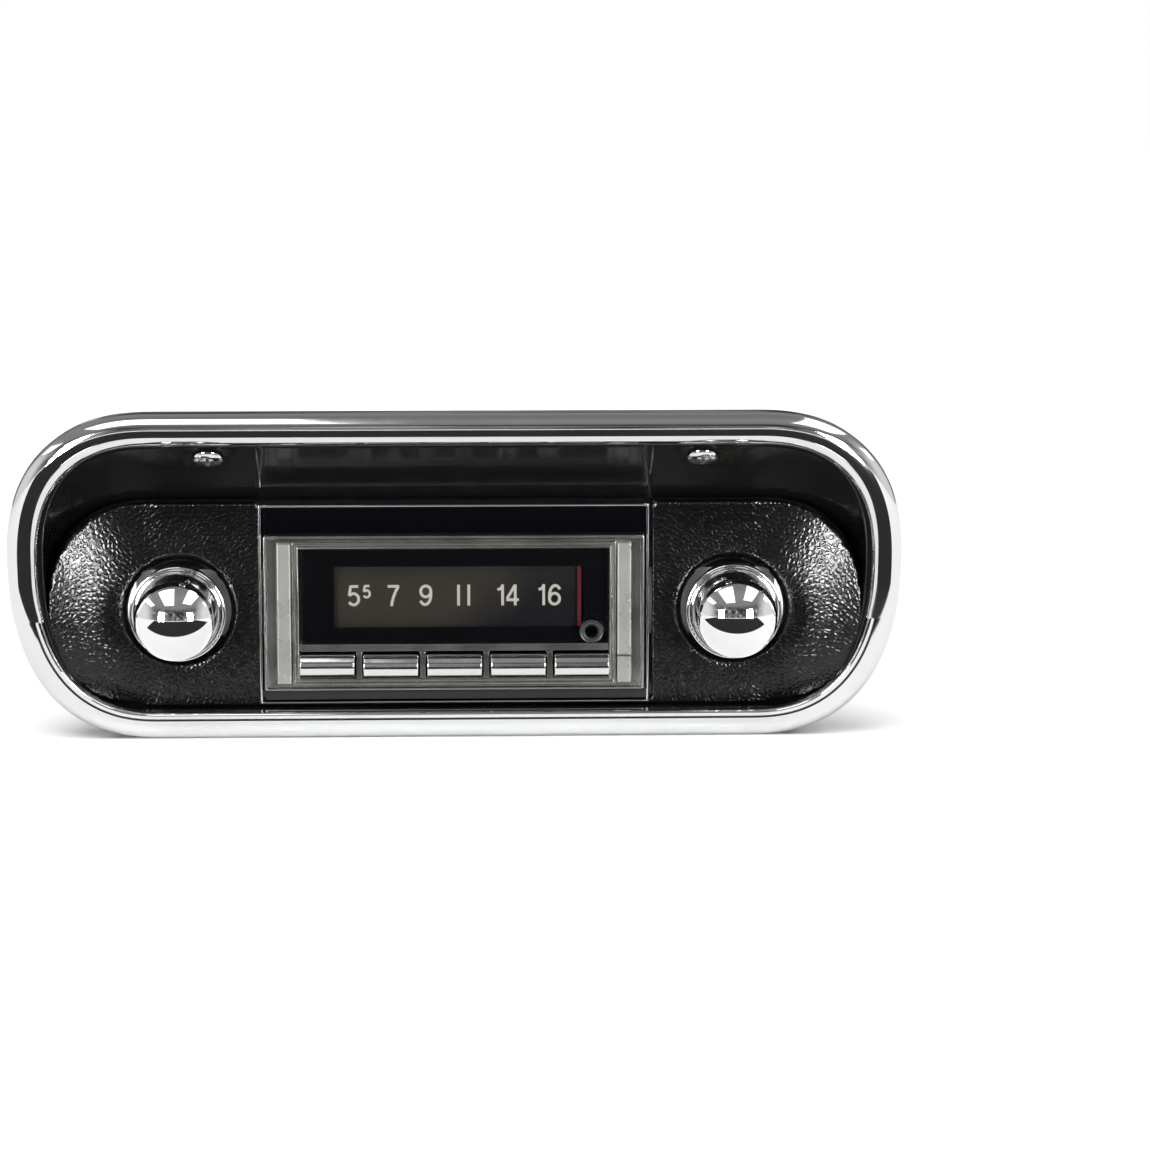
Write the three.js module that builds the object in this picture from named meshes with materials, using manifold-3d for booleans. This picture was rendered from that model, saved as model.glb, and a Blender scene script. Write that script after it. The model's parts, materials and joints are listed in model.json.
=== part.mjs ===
// A shaft-mounted push-button car radio in its dash bezel, in millimetres, +Z up, facing -Y.
// Inside this file every piece is drawn in the panel frame: X to the right, the knob shafts on
// z = 0, and y = 0 on the dash panel, with the front of the radio towards -Y. The exported group
// then carries everything to the part's own frame, whose origin is the middle of the underside.
import * as THREE from "three";
import { mergeVertices } from "three/addons/utils/BufferGeometryUtils.js";
import Module from "manifold-3d";

const wasm = await Module();
wasm.setup();

// ---- Driving dimensions ----

// Dash bezel. Its outlines are straight along the top and bottom and superelliptic at the ends.
const BEZEL = { halfWidth: 117.2, top: 36, bottom: 43, centreZ: 14.9, flat: 83.5, power: 2.4 };
const PANEL = { halfWidth: 115, top: 31.9, bottom: 27.2, centreZ: -0.4, flat: 85, power: 2.5 };
const LIP = { halfWidth: 114.4, top: 34.4, bottom: 42.7, centreZ: 14.9, flat: 84, power: 2.5 };
const TRIM_WIDTH = 7.6;
const BEZEL_DEPTH = 19.7; // how far the bezel's front plane stands before the panel, at its centre
const BEZEL_LEAN = 0.2033; // extra depth for each millimetre upwards: the top overhangs as a hood
const TRIM_JOINT_Z = -0.6;
const WALL = 2.4;
const GAP = 0.3; // between pieces that touch on the real object
const CUP_BACK = [1.4, 3.8];
const PANEL_Y = [-1, 1.1];

// Knobs and shafts
const SHAFT_X = 78.5;
const KNOB_RECESS_R = 14.6;
const KNOB = { r: 11.2, domeR: 14, edgeY: -19.8, skirtR: 10.3, neckR: 6.4, back: -9.4, boreEnd: -16 };
const RING_R = 13.6;
const RING_Y = [-7.4, -3];
const BUSHING_R = 4.7;
const BUSHING_Y = [-2.7, 6.2];
const NUT = { r: 8.1, y: [-2.2, 1.1] };
const OUTER_SHAFT_R = 3;
const OUTER_SHAFT_Y = [-7.1, 8];
const INNER_SHAFT_R = 1.6;
const INNER_SHAFT_FRONT = -15.7;
const VOLUME_SHAFT_END = 16;
const TUNING_SHAFT_END = 28;
const CONTROL = { r: 11, y: [6.5, 16.6], lugs: { x: [-4, 4], y: [9, 12], z: [-14.5, -9] } };

// Nosepiece, dial and buttons
const CENTRE_OPENING = { x: 55.6, z: [-25.9, 30.1] };
const CENTRE_FRAME = { width: 0.8, y: [-2.2, 1.1] };
const CENTRE_FILL = { y: [-1.2, 1.1], hole: { x: [-52, 52], z: [-21, 20] } };
const NOSE = { x: 53.9, z: [-22.8, 21.7], back: -1.5, base: -3.4, rim: 0.9, rimFront: -4.2 };
const NOSE_COLUMN = { x: [45.9, 49.9], z: [-21, 19.6], front: -5.6 };
const WINDOW = { x: 43.5, z: [-9.6, 17.5], lip: 1.6, lipFront: -5 };
const BUTTON_SHELF = { bottom: -20.9, front: -4.6, around: 0.4 };
const LENS_Y = [-2.8, -1.6];
const DIAL_MASK = { x: 46, y: [-1.2, -0.9], z: [-10.6, 18.4] };
const DIAL_PLATE = { x: 46.5, y: [0.9, 2.1], z: [-10.6, 16.9] };
const DIAL_OPENING = { x: [-34.7, 36.3], z: [-5, 12.4] };
const JACK = { x: 38.9, z: -6.2, r: 3.4, bore: 1.75, boreY: [-10, 11], rimY: [-3.6, -2.9], bodyEnd: 3.4, end: 13 };
const BUTTON = {
  count: 5, pitch: 18, width: 15.5, height: 6.4, z: -15.3, front: -9.5, back: -1, crown: 1.8,
  plungerHalf: [2.5, 0.8],
};
const FIRST_BUTTON_INSET = 1.5; // the first button stands a little deeper than its neighbours
const PLUNGER_END = 42;
const GUIDE = { x: [-46, 46], wall: [29, 30.5], top: -11.5, foot: [30, 38], footH: 1.3, slot: [2.9, 1.2] };
const SPRING = { x: [-44, 44], comb: -23, leafHalf: 3, above: 2, thick: 0.5 };
const LAMP = { x: 50.5, y: 22, z: { left: 3, right: -8 } };

// Chassis
const CHASSIS = { x: 91, y: [4.4, 112], z: [-28, 27], sheet: 1.2 };
const DIAL_CUT = { x: [-47, 47], z: [-20.6, 20.2] };
const SIDE_VENTS = { count: 6, start: 30, pitch: 7, width: 2.4, z: [-14, 10] };
const LID = { tabY: [40, 100], tabDrop: 6, vents: 9, ventX: -74, ventPitch: 8, ventWidth: 2.6, ventY: [66, 96] };
const RAIL_LUG = { x: [45, 46.2], over: 2.5, half: 2.4 };
const BOARD = { x: [-86, 44], y: [50, 107], z: [-21.6, -20] };
const TUNED_CAN = { x: [-77.5, -66.5], y: [56.5, 67.5], height: 15 };
const CAPACITORS = [{ x: -70, y: 90, r: 8, height: 24 }, { x: -46, y: 90, r: 6, height: 18 }];
const TRANSFORMER = {
  core: { x: [12, 36], y: [84, 104], z: [0, 18] },
  winding: { x: [17, 31], y: [80.5, 107], z: [4, 14] },
};

// On the back sheet
const BACK_Y = 124;
const ANTENNA = { x: 62, z: 9, boreR: 4, barrelR: 5.4, insideR: 5, flangeR: 8.5, flange: 2, length: 11, depth: 6 };
const HEAT_SINK = { x: [-84, -5.2], z: [-20, 20], base: 3, fin: 1.8, pitch: 5, groups: [-84, -32] };
const FINS_PER_GROUP = 6;
const TRANSISTOR = { x: -44.6, oval: [7.4, 14], flange: 1.6, canR: 6.4, height: 7 };
const FUSE = { x: 30, z: 9, baseR: 7, base: 2.5, r: 5.4, length: 10 };
const TERMINALS = {
  x: [24, 78], z: [-19, -9], depth: 5, tabs: 5, tabX: 30, pitch: 9, tabWidth: 6, tabZ: [-14.4, -13.6],
};
const STRAP = { x: [6, 20], top: -6, thick: 1.6, foot: [-8, 22], holeR: 3.3, studX: 13, studZ: -12 };
const STUD = { r: 3, length: 8.5, nutR: 5.6, nutEnd: 6 };

const FRONT_SHEET_BACK = CHASSIS.y[0] + CHASSIS.sheet + GAP;

// Tuning drive
const MODULE = 0.8;
const PINION_TEETH = 12;
const DRUM_TEETH = 36;
const CORE_PINION_TEETH = 10;
const DRUM_R = 11;
const DRIVE_ANGLE = THREE.MathUtils.degToRad(160); // from the tuning shaft to the drum's axle
const GEAR_DISTANCE = (MODULE * (PINION_TEETH + DRUM_TEETH)) / 2;
const DRUM_X = SHAFT_X + GEAR_DISTANCE * Math.cos(DRIVE_ANGLE);
const DRUM_Z = GEAR_DISTANCE * Math.sin(DRIVE_ANGLE);
const CORD_Y = 20;
const CORD_R = 0.45;
const PULLEY = { x: -62, r: 6, hubR: 1.6, y: [18.4, 21.6], flange: 0.9 };
const DRUM = { hubR: 3, axleR: 1.1, axleEnd: 35, flangeR: DRUM_R + 1.2 };
const POINTER_X = 34.9;
const POINTER = { half: 0.5, y: [-0.5, 0.1], top: 19, arm: [17.7, 19], slider: 4, hook: [17.4, 18.6] };
const RAIL = { y: 12, z: 20.6, r: 1.2 };

const CORNER_STEPS = 7; // facets in each quarter of a bezel outline
const ROUND = 28; // facets round a knob
const SMALL_ROUND = 16; // facets round a pin or a screw

// ---- Materials ----

function material(color, roughness, metalness) {
  return new THREE.MeshStandardMaterial({ color, roughness, metalness });
}
const chrome = material(0xd4d6d8, 0.08, 1);
const satinChrome = material(0xb4b5b0, 0.3, 1);
const glossBlack = material(0x0c0c0d, 0.12, 0);
const grainBlack = material(0x151515, 0.45, 0);
const dialBlack = material(0x14141c, 0.3, 0);
const dialFace = material(0x3f3b33, 0.4, 0);
const clear = new THREE.MeshStandardMaterial({ color: 0xdfe4e6, roughness: 0.04, transparent: true, opacity: 0.3 });
const red = material(0x9c2a2a, 0.4, 0);
const zinc = material(0xa9abab, 0.35, 1);
const steel = material(0x8d9092, 0.3, 1);
const brass = material(0xb58f45, 0.3, 1);
const aluminium = material(0xa4a6a8, 0.4, 1);
const phenolic = material(0x6b4a22, 0.55, 0);
const ferrite = material(0x2c2b2b, 0.6, 0);
const nylon = material(0xd9d4c2, 0.5, 0);
const cordage = material(0x2a2622, 0.8, 0);
const lampGlass = material(0xe8dcb8, 0.1, 0);
const capSleeve = material(0x1f3f6e, 0.35, 0);

// ---- Solids ----

// A geometry as a manifold-3d solid, turned the right way out.
function solid(geometry) {
  const flat = geometry.index ? geometry.toNonIndexed() : geometry;
  const bare = new THREE.BufferGeometry().setAttribute("position", flat.getAttribute("position"));
  const merged = mergeVertices(bare, 1e-4);
  const tris = [];
  for (let i = 0; i < merged.index.count; i += 3) {
    const [a, b, c] = [0, 1, 2].map((k) => merged.index.getX(i + k));
    if (a !== b && b !== c && c !== a) tris.push([a, b, c]);
  }
  const build = (order) =>
    new wasm.Manifold(
      new wasm.Mesh({
        numProp: 3,
        vertProperties: merged.attributes.position.array,
        triVerts: new Uint32Array(order.flat()),
      }),
    );
  const made = build(tris);
  return made.volume() > 0 ? made : build(tris.map(([a, b, c]) => [a, c, b]));
}

function geometryOf(made) {
  const mesh = made.getMesh();
  const positions = new Float32Array(mesh.numVert * 3);
  for (let i = 0; i < mesh.numVert; i++) {
    const from = i * mesh.numProp;
    positions.set(mesh.vertProperties.subarray(from, from + 3), i * 3);
  }
  const geometry = new THREE.BufferGeometry();
  geometry.setAttribute("position", new THREE.BufferAttribute(positions, 3));
  geometry.setIndex(new THREE.BufferAttribute(mesh.triVerts, 1));
  geometry.computeVertexNormals();
  return geometry;
}

const join = (...geometries) => geometries.map(solid).reduce((a, b) => a.add(b));
const cut = (from, ...tools) => tools.reduce((a, tool) => a.subtract(solid(tool)), from);

function block(x, y, z) {
  const geometry = new THREE.BoxGeometry(x[1] - x[0], y[1] - y[0], z[1] - z[0]);
  return geometry.translate((x[0] + x[1]) / 2, (y[0] + y[1]) / 2, (z[0] + z[1]) / 2);
}

// A round bar along Y, centred on x and z.
function rodY(radius, y, x = 0, z = 0, facets = SMALL_ROUND) {
  const geometry = new THREE.CylinderGeometry(radius, radius, y[1] - y[0], facets);
  return geometry.translate(x, (y[0] + y[1]) / 2, z);
}

// A round bar along X, centred on y and z.
function rodX(radius, x, y, z, facets = SMALL_ROUND) {
  const geometry = new THREE.CylinderGeometry(radius, radius, x[1] - x[0], facets);
  return geometry.rotateZ(Math.PI / 2).translate((x[0] + x[1]) / 2, y, z);
}

// A flat shape drawn in X and Z, given its thickness along Y.
function plate(points, y) {
  const shape = new THREE.Shape(points.map(([x, z]) => new THREE.Vector2(x, z)));
  const geometry = new THREE.ExtrudeGeometry(shape, { depth: y[1] - y[0], bevelEnabled: false });
  return geometry.rotateX(Math.PI / 2).translate(0, y[1], 0);
}

// A shape drawn in Y and Z, given its length along X.
function bar(points, x) {
  const shape = new THREE.Shape(points.map(([y, z]) => new THREE.Vector2(y, z)));
  const geometry = new THREE.ExtrudeGeometry(shape, { depth: x[1] - x[0], bevelEnabled: false });
  const axes = [new THREE.Vector3(0, 1, 0), new THREE.Vector3(0, 0, 1), new THREE.Vector3(1, 0, 0)];
  return geometry.applyMatrix4(new THREE.Matrix4().makeBasis(...axes)).translate(x[0], 0, 0);
}

// A turned piece about the Y axis, from its profile of [radius, y] points.
function turned(profile, facets = ROUND) {
  return new THREE.LatheGeometry(profile.map(([r, y]) => new THREE.Vector2(r, y)), facets);
}

// ---- Scene graph ----

const radio = new THREE.Group();

function add(name, made, finish, parent = radio) {
  const geometry = made.isBufferGeometry ? made : geometryOf(made);
  const mesh = new THREE.Mesh(geometry, finish);
  mesh.name = name;
  parent.add(mesh);
  return mesh;
}

// ---- Dash bezel ----

// The front plane of the bezel leans forwards with height.
const bezelY = (z) => -(BEZEL_DEPTH + BEZEL_LEAN * (z - BEZEL.centreZ));

const widened = (outline, by) => ({
  ...outline,
  halfWidth: outline.halfWidth + by,
  top: outline.top + by,
  bottom: outline.bottom + by,
});

function steps(from, to, count) {
  return Array.from({ length: count + 1 }, (_, i) => from + ((to - from) * i) / count);
}

// The [x, z] points of an outline, or of its part above or below the trim joint.
function trace(outline, part = "whole") {
  const { halfWidth, top, bottom, centreZ, flat, power } = outline;
  const at = (side, t) => {
    const height = t > 0 ? top : -bottom;
    const reach = (halfWidth - flat) * Math.abs(Math.cos(t)) ** (2 / power);
    return [side * (flat + reach), centreZ + height * Math.abs(Math.sin(t)) ** (2 / power)];
  };
  const quarter = Math.PI / 2;
  const joint = -Math.asin(((centreZ - TRIM_JOINT_Z) / bottom) ** (power / 2));
  const rows = {
    whole: [-quarter, quarter],
    upper: [joint, quarter],
    lower: [joint, -quarter],
  }[part];
  const side = steps(...rows, part === "lower" ? CORNER_STEPS : 2 * CORNER_STEPS);
  return [...side.map((t) => at(1, t)), ...side.reverse().map((t) => at(-1, t))];
}

// A shell whose section runs along an outline. Each section row is a traced loop of [x, y, z].
function swept(loops, closed, section = []) {
  const count = loops[0].length;
  const positions = loops.flat(2);
  const index = [];
  const rows = loops.length;
  for (let i = 0; i < (closed ? count : count - 1); i++) {
    for (let j = 0; j < rows; j++) {
      const [a, b] = [j * count + i, j * count + ((i + 1) % count)];
      const [c, d] = [((j + 1) % rows) * count + i, ((j + 1) % rows) * count + ((i + 1) % count)];
      index.push(a, b, d, a, d, c);
    }
  }
  if (!closed) {
    const contour = section.map(([x, y]) => new THREE.Vector2(x, y));
    const clockwise = THREE.ShapeUtils.isClockWise(contour);
    for (const [a, b, c] of THREE.ShapeUtils.triangulateShape(contour, [])) {
      const [p, q] = clockwise ? [c, b] : [b, c];
      index.push(a * count, p * count, q * count);
      const end = count - 1;
      index.push(a * count + end, q * count + end, p * count + end);
    }
  }
  const geometry = new THREE.BufferGeometry();
  geometry.setAttribute("position", new THREE.Float32BufferAttribute(positions, 3));
  geometry.setIndex(index);
  return geometry;
}

// A row of a section, at an offset out from the chrome's inner edge and a height before its plane.
function bezelRow(offset, height, part) {
  return trace(widened(BEZEL, offset), part).map(([x, z]) => [x, bezelY(z) - height, z]);
}

const trim = (section, part) =>
  swept(section.map(([offset, height]) => bezelRow(offset, height, part)), false, section);

// Sections of the chrome trims: distance out from the inner edge, and height before the plane.
const UPPER_SECTION = [
  [0, 0], [0.5, 0.7], [2.2, 1.2], [4.4, 0.7], [6.3, -0.9], [TRIM_WIDTH, -3.4],
  [TRIM_WIDTH, -11], [6.4, -11], [6.4, -3.9], [5, -1.5], [0.2, -1.3],
];
const LOWER_SECTION = [
  [0, 0], [0.5, 0.9], [1.7, 1.1], [2.7, 0.2], [3, -0.7], [3.7, 0], [5.4, -0.2], [7, -1.6],
  [TRIM_WIDTH, -3.6], [TRIM_WIDTH, -11], [6.4, -11], [6.4, -3.9], [5, -1.7], [0.2, -1.3],
];

function addTrims() {
  add("upper_trim", solid(trim(UPPER_SECTION, "upper")), chrome);
  const below = solid(trim(LOWER_SECTION, "lower"));
  const seam = block([-200, 200], [-60, 20], [TRIM_JOINT_Z - GAP, 200]);
  add("lower_trim", cut(below, seam), chrome);
}

// The lie of the hood's ceiling, from the panel's top edge up to the lip.
const lipTop = LIP.centreZ + LIP.top;
const ceiling = {
  back: new THREE.Vector3(0, CUP_BACK[0], PANEL.centreZ + PANEL.top),
  front: new THREE.Vector3(0, bezelY(lipTop) + 2, lipTop),
};
const CEILING_SCREW = { x: 70, along: 0.81, headR: 4, domeH: 1.3, shankR: 2, length: 9 };

function ceilingScrewGroup(side) {
  const group = new THREE.Group();
  group.position.lerpVectors(ceiling.back, ceiling.front, CEILING_SCREW.along);
  group.position.x = side * CEILING_SCREW.x;
  const rise = ceiling.front.clone().sub(ceiling.back);
  group.rotation.x = -Math.atan2(rise.z, -rise.y);
  return group;
}

const upright = (geometry) => geometry.rotateX(Math.PI / 2); // a piece along Y stood up along Z

function addBezelCup() {
  const lip = trace(LIP).map(([x, z]) => [x, bezelY(z) + 2, z]);
  const backRow = (by, y) => trace(widened(PANEL, by)).map(([x, z]) => [x, y, z]);
  const walls = swept([
    bezelRow(4.4, -2), lip, backRow(0, CUP_BACK[0]),
    backRow(WALL, CUP_BACK[1]), bezelRow(0.4, -4.6), bezelRow(4.4, -4.4),
  ], true);
  const floor = plate(trace(widened(PANEL, 1)), CUP_BACK);
  const holes = [-1, 1].flatMap((side) => {
    const screwHole = upright(rodY(CEILING_SCREW.shankR + GAP, [-10, 10]));
    const group = ceilingScrewGroup(side);
    group.updateMatrix();
    return [rodY(BUSHING_R + GAP, [0, 6], side * SHAFT_X), screwHole.applyMatrix4(group.matrix)];
  });
  const mouth = block([-55, 55], [0, 6], [-23.2, 23.2]);
  add("bezel_cup", cut(join(walls, floor), mouth, ...holes), glossBlack);
}

function addCeilingScrews() {
  for (const [side, name] of [[-1, "bezel_screw_left"], [1, "bezel_screw_right"]]) {
    const { headR, domeH, shankR, length } = CEILING_SCREW;
    const profile = [
      [0, length], [shankR, length], [shankR, -GAP], [headR, -GAP],
      [headR * 0.8, -GAP - domeH * 0.7], [headR * 0.4, -GAP - domeH], [0, -GAP - domeH],
    ];
    const body = solid(upright(turned(profile, SMALL_ROUND)));
    const slot = (turn) =>
      block([-0.5, 0.5], [-2, 2], [-3, -GAP - domeH * 0.45]).rotateZ(turn);
    const group = ceilingScrewGroup(side);
    radio.add(group);
    add(name, cut(body, slot(0), slot(Math.PI / 2)), chrome, group);
  }
}

function addPanel() {
  const sheet = solid(plate(trace(widened(PANEL, -0.8)), PANEL_Y)); // the walls close in towards the lip
  const { x, z } = CENTRE_OPENING;
  const recesses = [-SHAFT_X, SHAFT_X].map((at) => rodY(KNOB_RECESS_R, [-5, 5], at, 0, ROUND));
  add("grain_panel", cut(sheet, block([-x, x], [-5, 5], z), ...recesses), grainBlack);

  const out = { x: x - GAP, z: [z[0] + GAP, z[1] - GAP] };
  const shrunk = (by) => [[-out.x + by, out.x - by], [out.z[0] + by, out.z[1] - by]];
  const [frameX, frameZ] = shrunk(0);
  const [innerX, innerZ] = shrunk(CENTRE_FRAME.width);
  const frameBody = solid(block(frameX, CENTRE_FRAME.y, frameZ));
  add("center_frame", cut(frameBody, block(innerX, [-5, 5], innerZ)), chrome);

  const [fillX, fillZ] = shrunk(CENTRE_FRAME.width + GAP);
  const { hole } = CENTRE_FILL;
  const fillBody = solid(block(fillX, CENTRE_FILL.y, fillZ));
  add("center_plate", cut(fillBody, block(hole.x, [-5, 5], hole.z)), glossBlack);
}

// ---- Nosepiece, dial and buttons ----

const buttonX = (i) => (i - (BUTTON.count - 1) / 2) * BUTTON.pitch;

function addNosepiece() {
  const { x, z, back, base, rim } = NOSE;
  const ring = (halfX, spanZ, width, front) =>
    geometryOf(cut(
      solid(block([-halfX, halfX], [front, back], spanZ)),
      block([-halfX + width, halfX - width], [-20, 5], [spanZ[0] + width, spanZ[1] - width]),
    ));
  const columns = [-1, 1].map((side) => {
    const reach = NOSE_COLUMN.x.map((at) => side * at).sort((a, b) => a - b);
    return block(reach, [NOSE_COLUMN.front, back], NOSE_COLUMN.z);
  });
  const lip = WINDOW.lip + 0.1; // the lip's bore clears the window's edge
  const body = join(
    block([-x, x], [base, back], z),
    ring(x, z, rim, NOSE.rimFront),
    ring(WINDOW.x + lip, [WINDOW.z[0] - lip, WINDOW.z[1] + lip], WINDOW.lip, WINDOW.lipFront),
    block([-WINDOW.x - lip, WINDOW.x + lip], [BUTTON_SHELF.front, back], [BUTTON_SHELF.bottom, WINDOW.z[0] - WINDOW.lip]),
    ...columns,
  );
  const holes = Array.from({ length: BUTTON.count }, (_, i) => {
    const [halfW, halfH] = [BUTTON.width, BUTTON.height].map((size) => size / 2 + BUTTON_SHELF.around);
    return block(
      [buttonX(i) - halfW, buttonX(i) + halfW],
      [-20, 5],
      [BUTTON.z - halfH, BUTTON.z + halfH],
    );
  });
  const window = block([-WINDOW.x, WINDOW.x], [-20, 5], WINDOW.z);
  add("nosepiece", cut(body, window, ...holes), satinChrome);
}

function addDial() {
  const jackHole = () => rodY(JACK.r + GAP, [-10, 10], JACK.x, JACK.z);
  const sheet = ({ x, y, z }) => solid(block([-x, x], y, z));
  const pane = { x: WINDOW.x - GAP, y: LENS_Y, z: [WINDOW.z[0] + GAP, WINDOW.z[1] - GAP] };
  add("dial_lens", cut(sheet(pane), jackHole()), clear);
  const opening = block(DIAL_OPENING.x, [-10, 10], DIAL_OPENING.z);
  add("dial_mask", cut(sheet(DIAL_MASK), opening, jackHole()), dialBlack);
  add("dial_plate", cut(sheet(DIAL_PLATE), jackHole()), dialFace);

  const { x, z, r, bore, boreY, rimY, bodyEnd, end } = JACK;
  const socket = join(
    rodY(r, rimY, x, z, 20),
    rodY(r - 0.5, [rimY[1] - 0.1, bodyEnd], x, z),
    rodY(r - 0.9, [bodyEnd - 0.4, end], x, z),
  );
  add("aux_jack", cut(socket, rodY(bore, boreY, x, z)), ferrite);
}

function addButtons() {
  const { width, height, z, front, back, crown } = BUTTON;
  const [stemX, stemZ] = BUTTON.plungerHalf;
  const halfH = height / 2;
  const profile = [[back, -halfH], [back, halfH]];
  for (const t of steps(Math.PI / 2, -Math.PI / 2, 8)) {
    profile.push([front + crown * (1 - Math.cos(t)), halfH * Math.sin(t)]);
  }
  for (let i = 0; i < BUTTON.count; i++) {
    const inset = i === 0 ? FIRST_BUTTON_INSET : 0;
    const cap = bar(profile, [-width / 2, width / 2]);
    const plunger = block([-stemX, stemX], [back - 1, PLUNGER_END - inset], [-stemZ, stemZ]);
    const mesh = add(`button_${i + 1}`, join(cap, plunger), chrome);
    mesh.position.set(buttonX(i), inset, z);
  }
}

// ---- Knobs, shafts and controls ----

// A domed cap with a rolled edge, a skirt behind it and a neck that stands clear of the ring.
function knobProfile() {
  const { r, domeR, edgeY, skirtR, neckR, back, boreEnd } = KNOB;
  const spread = Math.asin(r / domeR);
  const centre = edgeY + domeR * Math.cos(spread);
  const dome = steps(0, spread, 7).map((t) => [domeR * Math.sin(t), centre - domeR * Math.cos(t)]);
  const bore = INNER_SHAFT_R + GAP;
  return [
    ...dome, [r, edgeY + 0.6], [skirtR, edgeY + 1.4], [skirtR, edgeY + 5.2], [neckR, edgeY + 8.8],
    [neckR, back], [bore, back], [bore, boreEnd], [0, boreEnd],
  ];
}

function ringProfile() {
  const [front, back] = RING_Y;
  const bore = OUTER_SHAFT_R + GAP;
  return [
    [bore, back], [RING_R - 0.6, back], [RING_R, back - 0.7], [RING_R, front + 0.6],
    [RING_R - 0.6, front], [RING_R - 1.5, front + 0.3], [RING_R - 2.6, front + 2.2],
    [bore + 1.6, front + 2.6], [bore + 1.2, front], [bore, front], [bore, back],
  ];
}

function addControl(side, front, rear, shaftEnd) {
  const stack = new THREE.Group();
  stack.position.x = side * SHAFT_X;
  radio.add(stack);
  add(`${front}_knob`, solid(turned(knobProfile())), chrome, stack);
  add(`${rear}_ring`, solid(turned(ringProfile())), chrome, stack);
  add(`${front}_shaft`, rodY(INNER_SHAFT_R, [INNER_SHAFT_FRONT, shaftEnd], 0, 0, 12), steel, stack);
  const through = rodY(INNER_SHAFT_R + GAP, [-20, 30]);
  const sleeve = solid(rodY(OUTER_SHAFT_R, OUTER_SHAFT_Y, 0, 0, 20));
  add(`${rear}_shaft`, cut(sleeve, through), brass, stack);
  const hand = side < 0 ? "left" : "right";
  const threaded = solid(rodY(BUSHING_R, BUSHING_Y, 0, 0, 24));
  const throat = rodY(OUTER_SHAFT_R + GAP, [-20, 20], 0, 0, 20);
  add(`${hand}_bushing`, cut(threaded, throat), brass, stack);
  const hex = solid(rodY(NUT.r, NUT.y, 0, 0, 6));
  add(`${hand}_nut`, cut(hex, rodY(BUSHING_R + GAP, [-9, 9], 0, 0, 24)), steel, stack);
  const { lugs } = CONTROL;
  const pot = join(rodY(CONTROL.r, CONTROL.y, 0, 0, 24), block(lugs.x, lugs.y, lugs.z));
  const seat = rodY(OUTER_SHAFT_R + GAP, [0, OUTER_SHAFT_Y[1] + 0.4]);
  add(`${front}_control`, cut(pot, seat, through), zinc, stack);
}

// ---- Tuning drive ----

// A spur gear's outline about the origin, with a tooth pointing along the given angle.
function gearOutline(teeth, facing) {
  const pitchR = (MODULE * teeth) / 2;
  const flanks = [
    [pitchR - 0.95, 0.62], [pitchR, 0.43], [pitchR + 0.62, 0.22],
  ];
  const points = [];
  for (let i = 0; i < teeth; i++) {
    const middle = facing + (2 * Math.PI * i) / teeth;
    const sides = [...flanks.map(([r, half]) => [r, -half]), ...flanks.toReversed()];
    for (const [r, half] of sides) {
      const angle = middle + half / r;
      points.push([r * Math.cos(angle), r * Math.sin(angle)]);
    }
  }
  return points;
}

function addTuningDrive() {
  const shaft = new THREE.Group();
  shaft.position.x = SHAFT_X;
  radio.add(shaft);
  const bore = rodY(INNER_SHAFT_R + GAP, [0, 50]);
  const pinion = solid(plate(gearOutline(PINION_TEETH, DRIVE_ANGLE), [24, 27.4]));
  add("tuning_pinion", cut(pinion, bore), brass, shaft);

  const drum = new THREE.Group();
  drum.position.set(DRUM_X, 0, DRUM_Z);
  radio.add(drum);
  const { hubR, axleR, axleEnd, flangeR } = DRUM;
  const gap = Math.PI / DRUM_TEETH; // a gap of the drum gear faces the pinion's tooth
  const body = join(
    plate(gearOutline(DRUM_TEETH, DRIVE_ANGLE + Math.PI + gap), [24.4, 27]),
    rodY(flangeR, [18, 18.9], 0, 0, 32),
    rodY(DRUM_R, [18.5, 21.5], 0, 0, 32),
    rodY(flangeR, [21.1, 22], 0, 0, 32),
    rodY(hubR, [21.5, 29.4]),
    plate(gearOutline(CORE_PINION_TEETH, -Math.PI / 2), [29, 33]),
  );
  add("drum_gear", cut(body, rodY(axleR + GAP, [0, 50])), nylon, drum);
  add("drum_axle", rodY(axleR, [FRONT_SHEET_BACK, axleEnd], 0, 0, 12), steel, drum);
}

// The dial cord runs round the drum and a pulley, level along the bottom.
const cordBottom = DRUM_Z - DRUM_R - GAP - CORD_R;

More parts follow.
